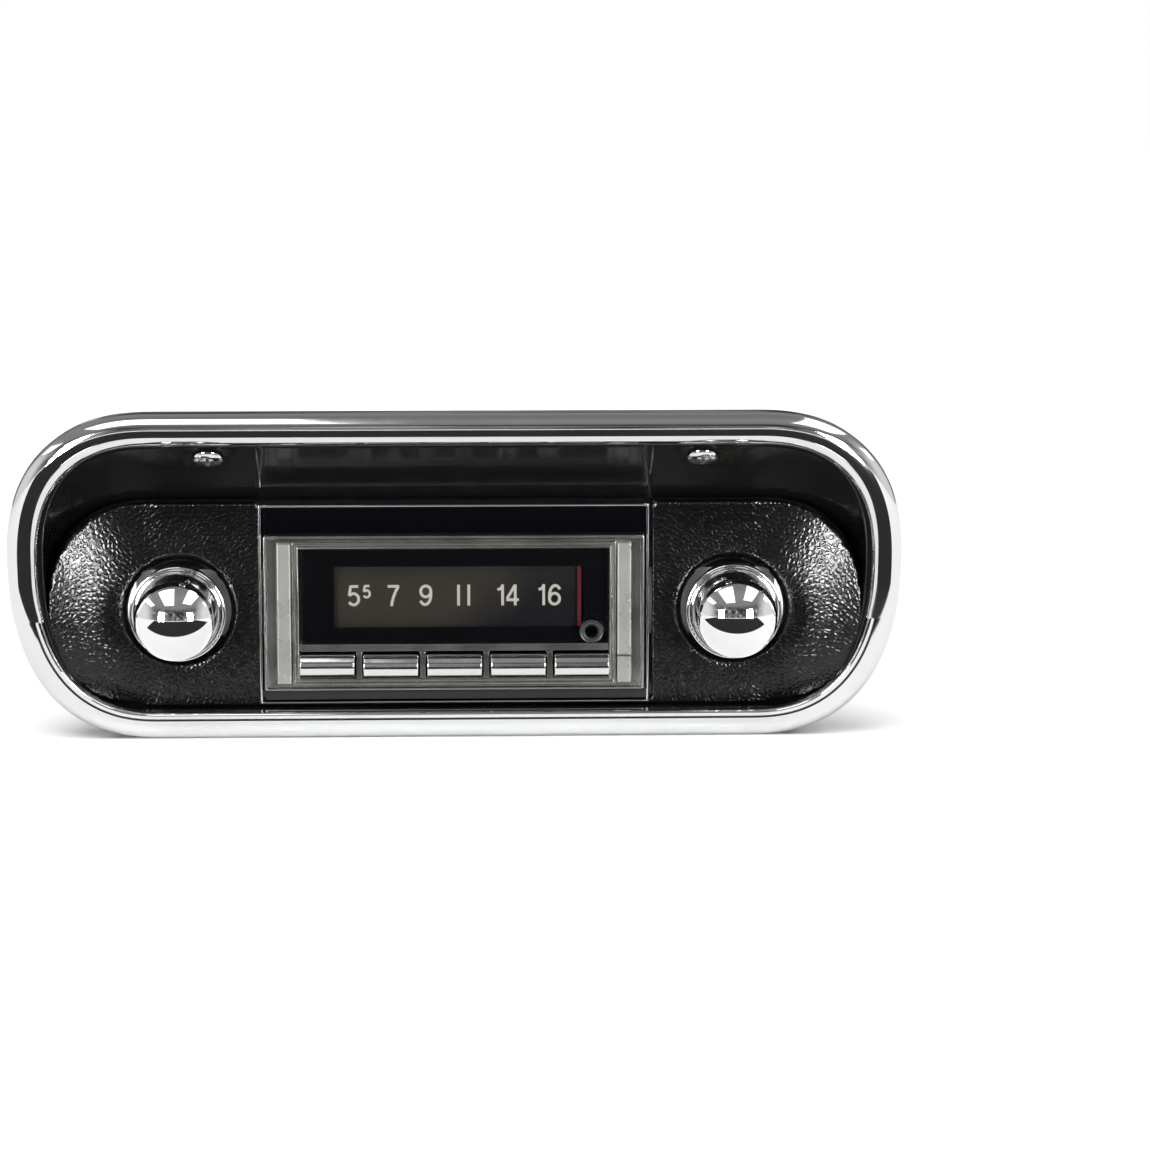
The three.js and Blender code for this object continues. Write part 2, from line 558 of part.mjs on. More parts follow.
function addDialCord() {
  const drumR = DRUM_Z - cordBottom;
  const pulleyR = PULLEY.r + GAP + CORD_R;
  const pulleyZ = cordBottom + pulleyR;
  const span = DRUM_X - PULLEY.x;
  const lift = (drumR - pulleyR) / span;
  const tilt = Math.atan2(DRUM_Z - pulleyZ, span) + Math.asin(lift);
  const arc = (cx, cz, r, from, to, count) =>
    steps(from, to, count).map((t) => [cx + r * Math.cos(t), cz + r * Math.sin(t)]);
  const route = [
    ...arc(DRUM_X, DRUM_Z, drumR, -Math.PI / 2, Math.PI / 2 + tilt, 14),
    ...arc(PULLEY.x, pulleyZ, pulleyR, Math.PI / 2 + tilt, (3 * Math.PI) / 2, 8),
  ];
  // Each corner of the cord's square section is a loop of its own, a little in or out of the route.
  const corners = [[1, 1], [1, -1], [-1, -1], [-1, 1]].map(([out, along]) =>
    route.map(([x, z], i) => {
      const [before, after] = [route.at(i - 1), route[(i + 1) % route.length]];
      const [dx, dz] = [after[0] - before[0], after[1] - before[1]];
      const size = Math.hypot(dx, dz);
      const half = CORD_R * 0.75;
      const shift = [(dz / size) * out * half, (-dx / size) * out * half];
      return [x + shift[0], CORD_Y + along * half, z + shift[1]];
    }),
  );
  add("dial_cord", solid(swept(corners, true)), cordage);

  const pulley = join(
    rodY(PULLEY.r + 1, [PULLEY.y[0], PULLEY.y[0] + PULLEY.flange], 0, 0, 20),
    rodY(PULLEY.r, [PULLEY.y[0] + 0.6, PULLEY.y[1] - 0.6], 0, 0, 20),
    rodY(PULLEY.r + 1, [PULLEY.y[1] - PULLEY.flange, PULLEY.y[1]], 0, 0, 20),
    rodY(PULLEY.hubR, [FRONT_SHEET_BACK, PULLEY.y[0] + 0.6], 0, 0, 12),
  );
  const mesh = add("cord_pulley", pulley, nylon);
  mesh.position.set(PULLEY.x, 0, pulleyZ);
}

function addPointer() {
  const { half, y, top, arm, slider, hook } = POINTER;
  const across = (reach) => [POINTER_X - reach, POINTER_X + reach];
  const body = join(
    block(across(half), y, [DIAL_OPENING.z[0] - 0.2, top]),
    block(across(3 * half), [y[0], RAIL.y - 2], arm),
    block(across(slider), [RAIL.y - 2.6, RAIL.y + 2.6], [arm[0], RAIL.z + 2.4]),
    block(across(slider / 2), [RAIL.y + 2, hook[1]], [arm[0], arm[1] + 0.5]),
    block(across(slider / 2), hook, [cordBottom - 1, arm[1] + 0.5]),
  );
  add("pointer", cut(body, rodX(RAIL.r + GAP, [0, 60], RAIL.y, RAIL.z)), red);
  const rail = [-RAIL_LUG.x[0] + GAP, RAIL_LUG.x[0] - GAP];
  add("pointer_rail", rodX(RAIL.r, rail, RAIL.y, RAIL.z, 12), steel);
}

const CORE = { z: -3, r: 2.5, bore: 3.1, rows: [40, 52, 64], tip: 6, bar: [46, 49], barY: [29.2, 76.5] };
const RACK = { y: [29.2, 32.8], end: 86.5, bottom: -1 };
const CARRIAGE_RAIL = { x: [-30.7, 89.4], y: 73, z: -3, r: 1.5 };
const COILS = { x: [-34, 10], y: [34, 76], base: [-11.5, -9.5], wall: 1.2, end: { x: [-34, -31], top: 3 } };
const COIL_STAND = { x: [6, 8.5], y: [34, 69], top: -1 };

function rackOutline() {
  const pitch = Math.PI * MODULE;
  const pitchZ = DRUM_Z - (MODULE * CORE_PINION_TEETH) / 2;
  const start = CORE.bar[0];
  const { end, bottom } = RACK;
  const points = [[start, bottom]];
  // The core pinion's tooth points down at rest, so a gap of the rack lies under the axle.
  const first = DRUM_X + pitch / 2 - pitch * Math.floor((DRUM_X + pitch / 2 - 50) / pitch);
  points.push([start, pitchZ - 0.95]);
  for (let x = first; x < end - 0.8; x += pitch) {
    points.push(
      [x - 0.62, pitchZ - 0.95], [x - 0.22, pitchZ + 0.62],
      [x + 0.22, pitchZ + 0.62], [x + 0.62, pitchZ - 0.95],
    );
  }
  points.push([end, pitchZ - 0.95], [end, bottom]);
  return points;
}

function addTuner() {
  const { z, r, bore, rows, tip, bar: across, barY } = CORE;
  const rail = CARRIAGE_RAIL;
  const carriage = join(
    plate(rackOutline(), RACK.y),
    block(across, barY, [z - 3, z + 3]),
    ...rows.map((y) => rodX(r, [tip, across[0] + 1], y, z, 14)),
  );
  const railBore = rodX(rail.r + GAP, [0, 90], rail.y, rail.z);
  add("core_carriage", cut(carriage, railBore), ferrite);
  add("carriage_rail", rodX(rail.r, rail.x, rail.y, rail.z, 12), steel);

  const { x, y: along, base, wall, end } = COILS;
  const foot = base[0] + 0.5;
  const coils = join(
    block(x, along, base),
    block(end.x, along, [foot, end.top]),
    block(COIL_STAND.x, COIL_STAND.y, [foot, COIL_STAND.top]),
    ...rows.map((y) => rodX(bore + wall, [x[0] + 2, x[1]], y, z, 18)),
  );
  const bores = rows.map((y) => rodX(bore, [x[0] + 4, 20], y, z, 14));
  add("coil_block", cut(coils, ...bores), phenolic);
}

function addButtonGuide() {
  const floor = CHASSIS.z[0] + CHASSIS.sheet + GAP;
  const wall = block(GUIDE.x, GUIDE.wall, [floor, GUIDE.top]);
  const foot = block(GUIDE.x, GUIDE.foot, [floor, floor + GUIDE.footH]);
  const [halfX, halfZ] = GUIDE.slot;
  const slots = Array.from({ length: BUTTON.count }, (_, i) =>
    block([buttonX(i) - halfX, buttonX(i) + halfX], [20, 40], [BUTTON.z - halfZ, BUTTON.z + halfZ]),
  );
  add("button_guide", cut(join(wall, foot), ...slots), zinc);

  const { x, comb: root, leafHalf, above, thick } = SPRING;
  const comb = [[x[0], floor], [x[1], floor], [x[1], root]];
  for (let i = BUTTON.count - 1; i >= 0; i--) {
    const [left, right, top] = [buttonX(i) - leafHalf, buttonX(i) + leafHalf, BUTTON.z + above];
    comb.push([right, root], [right, top], [left, top], [left, root]);
  }
  comb.push([x[0], root]);
  add("return_spring", plate(comb, [PLUNGER_END + GAP, PLUNGER_END + GAP + thick]), brass);
}

function addLamps() {
  // Radius and distance before the socket's rear end: a base, a neck and a bulb.
  const bulb = [
    [0, 7], [2.6, 7], [2.6, 9.6], [2.2, 10.4], [2.6, 12], [2.5, 13.6], [1.6, 15.2], [0, 15.8],
  ].map(([r, y]) => [r, LAMP.y - y]);
  for (const [side, hand] of [[-1, "left"], [1, "right"]]) {
    const mesh = add(`dial_lamp_${hand}`, solid(turned(bulb, 14)), lampGlass);
    mesh.position.set(side * LAMP.x, 0, LAMP.z[hand]);
  }
}

// ---- Chassis ----

function addChassis() {
  const { x, y, z, sheet } = CHASSIS;
  const tray = solid(block([-x, x], y, z));
  const hollow = block([-x + sheet, x - sheet], [y[0] + sheet, y[1] - sheet], [z[0] + sheet, z[1] + 1]);
  const openings = [
    block(DIAL_CUT.x, [y[0] - 1, y[0] + 3], DIAL_CUT.z),
    ...[-1, 1].map((side) => rodY(BUSHING_R + GAP, [0, 10], side * SHAFT_X, 0, 20)),
    rodY(ANTENNA.insideR + GAP, [100, 120], ANTENNA.x, ANTENNA.z, 20),
  ];
  for (let i = 0; i < SIDE_VENTS.count; i++) {
    const at = SIDE_VENTS.start + i * SIDE_VENTS.pitch;
    openings.push(block([-x - 1, x + 1], [at, at + SIDE_VENTS.width], SIDE_VENTS.z));
  }
  const lugs = [-1, 1].map((side) => {
    const reach = RAIL_LUG.x.map((at) => side * at).sort((a, b) => a - b);
    return block(reach, [y[0] + sheet / 2, RAIL.y + RAIL_LUG.over], [RAIL.z - RAIL_LUG.half, RAIL.z + RAIL_LUG.half]);
  });
  const frontAbove = block(DIAL_CUT.x, [y[0], y[0] + sheet], [DIAL_CUT.z[1], z[1]]);
  const body = cut(tray, hollow, ...openings);
  add("chassis", [...lugs, frontAbove].reduce((made, lug) => made.add(solid(lug)), body), zinc);

  const lidZ = [z[1] + GAP, z[1] + GAP + sheet];
  const tab = (side) => {
    const reach = [x - 2 * sheet - GAP, x - sheet - GAP].map((at) => side * at).sort((a, b) => a - b);
    return block(reach, LID.tabY, [z[1] - LID.tabDrop, z[1] + 1]);
  };
  const lid = join(block([-x, x], y, lidZ), tab(-1), tab(1));
  const vents = Array.from({ length: LID.vents }, (_, i) => {
    const at = LID.ventX + i * LID.ventPitch;
    return block([at, at + LID.ventWidth], LID.ventY, [lidZ[0] - 1, lidZ[1] + 1]);
  });
  add("top_cover", cut(lid, ...vents), zinc);
}

function addCircuit() {
  const top = BOARD.z[1] + GAP;
  const raised = ([low, high]) => [top + low, top + high];
  add("circuit_board", block(BOARD.x, BOARD.y, BOARD.z), phenolic);
  add("tuned_can", block(TUNED_CAN.x, TUNED_CAN.y, raised([0, TUNED_CAN.height])), aluminium);
  CAPACITORS.forEach(({ x, y, r, height }, i) => {
    const can = new THREE.CylinderGeometry(r, r, height, 20).rotateX(Math.PI / 2);
    const mesh = add(`filter_capacitor_${i + 1}`, can, capSleeve);
    mesh.position.set(x, y, top + height / 2);
  });
  const { core, winding } = TRANSFORMER;
  const transformer = join(
    block(core.x, core.y, raised(core.z)),
    block(winding.x, winding.y, raised(winding.z)),
  );
  add("audio_transformer", transformer, ferrite);
}

function addRear() {
  const back = CHASSIS.y[1] + GAP;
  const { base, fin, pitch, groups } = HEAT_SINK;
  const fins = groups.flatMap((start) =>
    Array.from({ length: FINS_PER_GROUP }, (_, i) =>
      block([start + i * pitch, start + i * pitch + fin], [back, BACK_Y], HEAT_SINK.z),
    ),
  );
  add("heat_sink", join(block(HEAT_SINK.x, [back, back + base], HEAT_SINK.z), ...fins), aluminium);

  const seatY = back + base + GAP;
  const oval = Array.from({ length: 24 }, (_, k) => {
    const t = (2 * Math.PI * k) / 24;
    return [TRANSISTOR.oval[0] * Math.cos(t), TRANSISTOR.oval[1] * Math.sin(t)];
  });
  const power = join(
    plate(oval, [seatY, seatY + TRANSISTOR.flange]),
    rodY(TRANSISTOR.canR, [seatY + 1, seatY + TRANSISTOR.height], 0, 0, 20),
  );
  add("output_transistor", power, steel).position.x = TRANSISTOR.x;

  const { boreR, barrelR, insideR, flangeR, flange, length, depth } = ANTENNA;
  const socket = solid(turned([
    [0, back - depth], [insideR, back - depth], [insideR, back], [flangeR, back], [flangeR, back + flange],
    [barrelR, back + flange], [barrelR, back + length], [boreR, back + length],
    [boreR, back - depth + 2], [0, back - depth + 2],
  ], 20));
  const antenna = add("antenna_socket", socket, steel);
  antenna.position.set(ANTENNA.x, 0, ANTENNA.z);

  const holder = join(
    rodY(FUSE.baseR, [back, back + FUSE.base], 0, 0, 20),
    rodY(FUSE.r, [back + 2, back + FUSE.length], 0, 0, 20),
  );
  add("fuse_holder", holder, ferrite).position.set(FUSE.x, 0, FUSE.z);

  const tabs = Array.from({ length: TERMINALS.tabs }, (_, i) => {
    const at = TERMINALS.tabX + i * TERMINALS.pitch;
    return block([at, at + TERMINALS.tabWidth], [back + TERMINALS.depth - 1, BACK_Y - 1], TERMINALS.tabZ);
  });
  const strip = block(TERMINALS.x, [back, back + TERMINALS.depth], TERMINALS.z);
  add("terminal_block", join(strip, ...tabs), phenolic);

  const ground = BEZEL.centreZ - BEZEL.bottom - TRIM_WIDTH;
  const { thick, studX, studZ } = STRAP;
  const strap = join(
    block(STRAP.x, [back, back + thick], [ground, STRAP.top]),
    block(STRAP.foot, [back, BACK_Y], [ground, ground + thick]),
  );
  add("support_bracket", cut(strap, rodY(STRAP.holeR, [100, 130], studX, studZ)), zinc);
  const nut = join(
    rodY(STUD.nutR, [back + thick + GAP, back + STUD.nutEnd], studX, studZ, 6),
    rodY(STUD.r, [back - 0.2, back + STUD.length], studX, studZ),
  );
  add("bracket_nut", nut, steel);
}

addTrims();
addBezelCup();
addCeilingScrews();
addPanel();
addNosepiece();
addDial();
addButtons();
addControl(-1, "volume", "tone", VOLUME_SHAFT_END);
addControl(1, "tuning", "fader", TUNING_SHAFT_END);
addTuningDrive();
addDialCord();
addPointer();
addTuner();
addButtonGuide();
addLamps();
addChassis();
addCircuit();
addRear();

// The part's own origin: the middle of the underside of its bounding box.
const bounds = new THREE.Box3().setFromObject(radio);
radio.position.set(
  -(bounds.min.x + bounds.max.x) / 2,
  -(bounds.min.y + bounds.max.y) / 2,
  -bounds.min.z,
);

export default radio;
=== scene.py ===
"""Fine surfaces, materials, light and camera for the push-button car radio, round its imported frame."""

import json
import math

import bmesh
import bpy
import numpy as np
from mathutils import Matrix, Vector


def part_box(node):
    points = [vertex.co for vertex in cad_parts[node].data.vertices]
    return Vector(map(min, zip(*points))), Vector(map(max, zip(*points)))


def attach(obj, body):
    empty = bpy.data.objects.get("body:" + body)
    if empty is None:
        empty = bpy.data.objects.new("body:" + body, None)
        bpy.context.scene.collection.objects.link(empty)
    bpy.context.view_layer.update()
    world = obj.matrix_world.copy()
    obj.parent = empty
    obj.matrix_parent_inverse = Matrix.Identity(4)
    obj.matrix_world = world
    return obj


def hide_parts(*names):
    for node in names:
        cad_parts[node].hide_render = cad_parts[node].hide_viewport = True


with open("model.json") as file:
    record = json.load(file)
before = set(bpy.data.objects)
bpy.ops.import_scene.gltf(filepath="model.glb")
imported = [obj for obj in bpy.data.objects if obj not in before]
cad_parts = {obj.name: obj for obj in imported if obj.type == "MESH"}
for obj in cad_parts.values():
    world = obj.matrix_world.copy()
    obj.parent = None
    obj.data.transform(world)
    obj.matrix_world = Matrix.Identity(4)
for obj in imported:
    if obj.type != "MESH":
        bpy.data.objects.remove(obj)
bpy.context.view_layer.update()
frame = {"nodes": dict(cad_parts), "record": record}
NODES = frame["nodes"]

# ---- The panel frame: millimetres, x from the middle, y back from the panel, z up from the shafts ----

MM = 0.001
BASE = "radio_body"
PANEL_FRONT = -1.0


def middle(node):
    low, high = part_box(node)
    return (low + high) / 2


ORIGIN = Vector((0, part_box("grain_panel")[0].y - PANEL_FRONT * MM, middle("tuning_knob").z))


def at(x, y, z):
    """A point of the panel frame, in the row frame."""
    return ORIGIN + Vector((x, y, z)) * MM


def span(node):
    """A node's lowest and highest corner in the panel frame."""
    low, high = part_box(node)
    return (low - ORIGIN) / MM, (high - ORIGIN) / MM


SHAFT_X = (middle("tuning_knob") - ORIGIN).x / MM
NOSE_LOW, NOSE_HIGH = span("nosepiece")
BUTTONS = [f"button_{i + 1}" for i in range(5)]

# Outlines: straight along the top and bottom, superelliptic at the ends.
BEZEL = dict(half=117.2, top=36, bottom=43, centre=14.9, flat=83.5, power=2.4)
PANEL = dict(half=115, top=31.9, bottom=27.2, centre=-0.4, flat=85, power=2.5)
LIP = dict(half=114.4, top=34.4, bottom=42.7, centre=14.9, flat=84, power=2.5)
BEZEL_DEPTH, BEZEL_LEAN = 19.7, 0.2033
TRIM_JOINT_Z = -0.6
CORNER_STEPS = 44
CUP_BACK = (1.4, 3.8)
KNOB_RECESS_R = 14.6
CENTRE_HALF, CENTRE_LOW, CENTRE_HIGH = 55.6, -27.0, 30.7
NOSE_SHIFT = -0.6  # the nosepiece sits a little left of the frame's middle

# ---- Materials ----

EVEN = (1, 1, 1)
GROOVE, PIT = 0.35, 0.16  # where a pebble's groove and a pit end, as shares of a cell


def material(name, color, metallic, roughness, tint=None, rough=None, bumps=(), **sockets):
    """A Principled surface. tint is (scale, share) of colour variation, rough is (scale, low, high),
    and each bump is (kind, scale, height in mm, stretch), all by position on the piece."""
    made = bpy.data.materials.new(name)
    made.use_nodes = True
    tree = made.node_tree
    shader = tree.nodes["Principled BSDF"]
    shader.inputs["Base Color"].default_value = (*color, 1)
    shader.inputs["Metallic"].default_value = metallic
    shader.inputs["Roughness"].default_value = roughness
    for socket, value in sockets.items():
        shader.inputs[socket.replace("_", " ")].default_value = value
    place = tree.nodes.new("ShaderNodeTexCoord").outputs["Object"]

    def pattern(kind, scale, stretch):
        """A texture node of one kind, at its scale per millimetre and stretched by position."""
        mapping = tree.nodes.new("ShaderNodeMapping")
        mapping.inputs["Scale"].default_value = stretch
        tree.links.new(place, mapping.inputs["Vector"])
        node = tree.nodes.new(kind)
        node.inputs["Scale"].default_value = scale / MM
        tree.links.new(mapping.outputs["Vector"], node.inputs["Vector"])
        return node

    def noise(scale, detail=3.0, stretch=EVEN):
        node = pattern("ShaderNodeTexNoise", scale, stretch)
        node.inputs["Detail"].default_value = detail
        return node.outputs["Fac"]

    def cells(kind, scale, stretch):
        """Pebbles with grooves between them, or small round pits."""
        node = pattern("ShaderNodeTexVoronoi", scale, stretch)
        node.feature = "DISTANCE_TO_EDGE" if kind == "pebble" else "F1"
        curve = tree.nodes.new("ShaderNodeMapRange")
        curve.interpolation_type = "SMOOTHSTEP"
        curve.inputs["From Max"].default_value = GROOVE if kind == "pebble" else PIT
        tree.links.new(node.outputs["Distance"], curve.inputs["Value"])
        return curve.outputs["Result"]

    def ranged(value, low, high):
        node = tree.nodes.new("ShaderNodeMapRange")
        node.inputs["From Min"].default_value = 0.3
        node.inputs["From Max"].default_value = 0.7
        node.inputs["To Min"].default_value = low
        node.inputs["To Max"].default_value = high
        tree.links.new(value, node.inputs["Value"])
        return node.outputs["Result"]

    if tint:
        scale, share = tint
        mix = tree.nodes.new("ShaderNodeMix")
        mix.data_type = "RGBA"
        mix.inputs["A"].default_value = (*[c * (1 - share) for c in color], 1)
        mix.inputs["B"].default_value = (*[min(1, c * (1 + share)) for c in color], 1)
        tree.links.new(ranged(noise(scale), 0, 1), mix.inputs["Factor"])
        tree.links.new(mix.outputs["Result"], shader.inputs["Base Color"])
    if rough:
        scale, low, high = rough
        tree.links.new(ranged(noise(scale), low, high), shader.inputs["Roughness"])
    normal = None
    for kind, scale, height, stretch in bumps:
        bump = tree.nodes.new("ShaderNodeBump")
        bump.inputs["Distance"].default_value = height * MM
        value = noise(scale, 4.0, stretch) if kind == "noise" else cells(kind, scale, stretch)
        tree.links.new(value, bump.inputs["Height"])
        if normal:
            tree.links.new(normal, bump.inputs["Normal"])
        normal = bump.outputs["Normal"]
    if normal:
        tree.links.new(normal, shader.inputs["Normal"])
    return made


LOOKS = {
    "bezel_chrome": material("bezel_chrome", (0.77, 0.775, 0.78), 1, 0.05, rough=(0.05, 0.03, 0.1),
                             bumps=[("noise", 0.03, 0.05, EVEN), ("pit", 0.12, 0.02, EVEN)]),
    "bezel_plastic": material("bezel_plastic", (0.006, 0.006, 0.007), 0, 0.12, rough=(0.15, 0.07, 0.16),
                              bumps=[("noise", 2.0, 0.004, (0.15, 1, 1))]),
    "panel_grain": material("panel_grain", (0.004, 0.004, 0.0045), 0, 0.2, tint=(0.08, 0.25),
                            Specular_IOR_Level=0.4,
                            bumps=[("pebble", 0.74, 0.055, EVEN), ("noise", 1.5, 0.01, EVEN)]),
    "center_gloss": material("center_gloss", (0.002, 0.002, 0.004), 0, 0.08,
                             bumps=[("noise", 0.2, 0.01, EVEN)]),
    "nose_metal": material("nose_metal", (0.36, 0.36, 0.34), 1, 0.2, rough=(0.08, 0.19, 0.25),
                           bumps=[("noise", 0.15, 0.008, EVEN), ("noise", 3.0, 0.001, (1, 1, 0.2))]),
    "button_chrome": material("button_chrome", (0.78, 0.78, 0.77), 1, 0.09, rough=(0.2, 0.05, 0.14),
                              bumps=[("noise", 0.12, 0.02, EVEN)]),
    "knob_chrome": material("knob_chrome", (0.86, 0.865, 0.87), 1, 0.025, rough=(0.1, 0.015, 0.05),
                            bumps=[("noise", 0.05, 0.01, EVEN)]),
    "dial_ink": material("dial_ink", (0.001, 0.001, 0.004), 0, 0.25, tint=(0.1, 0.3)),
    "dial_paint": material("dial_paint", (0.055, 0.05, 0.04), 0, 0.4, tint=(0.03, 0.3)),
    "lens_clear": material("lens_clear", (0.001, 0.001, 0.003), 0, 0.03, Alpha=0.3,
                           rough=(0.1, 0.02, 0.05)),
    "pointer_red": material("pointer_red", (0.42, 0.035, 0.045), 0, 0.35, tint=(0.3, 0.15)),
    "black_plastic": material("black_plastic", (0.012, 0.012, 0.013), 0, 0.35,
                              rough=(0.5, 0.28, 0.45),
                              bumps=[("noise", 3.0, 0.01, EVEN)]),
    "zinc_sheet": material("zinc_sheet", (0.53, 0.53, 0.5), 1, 0.38, tint=(0.06, 0.12),
                           rough=(0.12, 0.34, 0.46),
                           bumps=[("noise", 0.06, 0.03, EVEN), ("noise", 2.5, 0.004, (0.1, 1, 1))]),
    "steel": material("steel", (0.58, 0.58, 0.57), 1, 0.25, tint=(0.3, 0.1), rough=(0.5, 0.18, 0.32),
                      bumps=[("noise", 1.0, 0.0015, (1, 0.1, 1))]),
    "brass": material("brass", (0.6, 0.42, 0.16), 1, 0.28, tint=(0.3, 0.15), rough=(0.5, 0.2, 0.36),
                      bumps=[("noise", 2.0, 0.006, (1, 0.1, 1))]),
    "phosphor_bronze": material("phosphor_bronze", (0.55, 0.33, 0.14), 1, 0.3, tint=(0.2, 0.15),
                                bumps=[("noise", 1.5, 0.005, EVEN)]),
    "aluminium": material("aluminium", (0.55, 0.555, 0.56), 1, 0.35, rough=(0.2, 0.28, 0.45),
                          bumps=[("noise", 2.0, 0.01, (1, 1, 0.06))]),
    "phenolic": material("phenolic", (0.17, 0.085, 0.03), 0, 0.5, tint=(0.5, 0.2),
                         bumps=[("noise", 1.5, 0.01, (1, 0.2, 1))]),
    "ferrite": material("ferrite", (0.03, 0.03, 0.032), 0, 0.55, tint=(0.4, 0.2),
                        bumps=[("noise", 2.0, 0.02, EVEN)]),
    "nylon": material("nylon", (0.62, 0.57, 0.44), 0, 0.45, tint=(0.1, 0.1), Subsurface_Weight=0.15,
                      bumps=[("noise", 1.0, 0.01, EVEN)]),
    "cord_braid": material("cord_braid", (0.03, 0.024, 0.02), 0, 0.8,
                           bumps=[("noise", 3.0, 0.06, (0.3, 1, 1))]),
    "lamp_glass": material("lamp_glass", (0.9, 0.82, 0.6), 0, 0.06, Alpha=0.45, tint=(0.2, 0.1)),
    "sleeve": material("sleeve", (0.02, 0.045, 0.16), 0, 0.32, tint=(0.1, 0.2),
                       bumps=[("noise", 0.4, 0.03, EVEN)]),
    "lamination": material("lamination", (0.035, 0.03, 0.028), 0, 0.45,
                           bumps=[("noise", 3.0, 0.04, (0.02, 1, 0.02))]),
}

# ---- Pieces ----


def dress(obj, slot, body=BASE, replaces=()):
    obj.data.materials.clear()
    obj.data.materials.append(LOOKS[slot])
    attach(obj, body)
    if replaces:
        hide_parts(*replaces)
    return obj


def piece(name, verts, faces, slot, body=BASE, replaces=(), sharp=35):
    """A mesh from points of the panel frame."""
    mesh = bpy.data.meshes.new(name)
    mesh.from_pydata([at(*v) for v in verts], [], [list(map(int, f)) for f in faces])
    made = bmesh.new()
    made.from_mesh(mesh)
    bmesh.ops.remove_doubles(made, verts=made.verts, dist=0.005 * MM)
    bmesh.ops.recalc_face_normals(made, faces=made.faces)
    made.to_mesh(mesh)
    made.free()
    obj = bpy.data.objects.new(name, mesh)
    bpy.context.scene.collection.objects.link(obj)
    shade(obj, sharp)
    return dress(obj, slot, body, replaces)


def shade(obj, sharp=35):
    obj.data.shade_smooth()
    obj.data.set_sharp_from_angle(angle=math.radians(sharp))


def bevel(obj, width, segments=3, angle=30):
    made = obj.modifiers.new("edge", "BEVEL")
    made.width = width * MM
    made.segments = segments
    made.limit_method = "ANGLE"
    made.angle_limit = math.radians(angle)
    made.harden_normals = True
    return obj


def grid_faces(rows, columns, wrap_rows=False, wrap_columns=False):
    faces = []
    for j in range(rows if wrap_rows else rows - 1):
        for i in range(columns if wrap_columns else columns - 1):
            a, b = j * columns + i, j * columns + (i + 1) % columns
            c, d = ((j + 1) % rows) * columns + i, ((j + 1) % rows) * columns + (i + 1) % columns
            faces.append((a, b, d, c))
    return faces


def turned_mesh(profile, x, z, count, flutes=0):
    """The points and faces of a shape turned about a line along y, from its [radius, y] profile.
    A third number is how deep that ring's flutes are."""
    angles = np.linspace(0, 2 * math.pi, count, endpoint=False)
    verts = []
    for radius, y, *depth in profile:
        radii = radius - (depth[0] / 2 * (1 - np.cos(flutes * angles)) if depth else 0 * angles)
        verts += [(x + r * math.cos(t), y, z + r * math.sin(t)) for r, t in zip(radii, angles)]
    return verts, grid_faces(len(profile), count, wrap_columns=True)


def turned(name, profile, x, z, slot, body=BASE, replaces=(), count=72, sharp=35, flutes=0):
    return piece(name, *turned_mesh(profile, x, z, count, flutes), slot, body, replaces, sharp)


def roll(centre, radii, start, end, count):
    """Points of an ellipse's arc, its angles in degrees."""
    turns = [math.radians(t) for t in np.linspace(start, end, count)]
    return [(centre[0] + radii[0] * math.cos(t), centre[1] + radii[1] * math.sin(t)) for t in turns]


def arc(cx, cy, radius, start, end, count=8):
    return roll((cx, cy), (radius, radius), start, end, count)


def box_mesh(x, y, z):
    verts = [(a, b, c) for a in x for b in y for c in z]
    return verts, [(0, 1, 3, 2), (4, 6, 7, 5), (0, 4, 5, 1), (2, 3, 7, 6), (0, 2, 6, 4), (1, 5, 7, 3)]


def several(parts):
    """Several meshes as one list of points and faces."""
    verts, faces = [], []
    for part_verts, part_faces in parts:
        start = len(verts)
        verts += list(part_verts)
        faces += [tuple(start + i for i in f) for f in part_faces]
    return verts, faces


def boxes(name, parts, slot, body=BASE, replaces=(), width=0.3):
    return bevel(piece(name, *several([box_mesh(*p) for p in parts]), slot, body, replaces), width)


def frame_mesh(x, half, low, high, profile, corner=0.6):
    """A rectangular frame with rounded corners, swept from a closed profile of (inset, y) points."""
    verts = []
    steps = 5
    for inset, y in profile:
        radius = max(corner - inset, 0.05)
        for cx, cz, start in ((1, 1, 0), (-1, 1, 90), (-1, -1, 180), (1, -1, 270)):
            mx = x + cx * (half - inset - radius)
            mz = (high - inset - radius) if cz > 0 else (low + inset + radius)
            for px, pz in arc(mx, mz, radius, start, start + 90, steps):
                verts.append((x + px, y, pz))
    return verts, grid_faces(len(profile), 4 * steps, wrap_rows=True, wrap_columns=True)


def refined(name, node, slot, width=0.35, body=BASE):
    """A CAD node's own shape with its edges broken, standing for it."""
    obj = bpy.data.objects.new(name, NODES[node].data.copy())
    bpy.context.scene.collection.objects.link(obj)
    made = bmesh.new()
    made.from_mesh(obj.data)
    bmesh.ops.remove_doubles(made, verts=made.verts, dist=0.01 * MM)
    flat = math.radians(1)
    bmesh.ops.dissolve_limit(made, angle_limit=flat, verts=made.verts, edges=made.edges)
    made.to_mesh(obj.data)
    made.free()
    shade(obj)
    return bevel(dress(obj, slot, body, [node]), width, 2)


# ---- Bezel ----


def bezel_y(z):
    return -(BEZEL_DEPTH + BEZEL_LEAN * (z - BEZEL["centre"]))


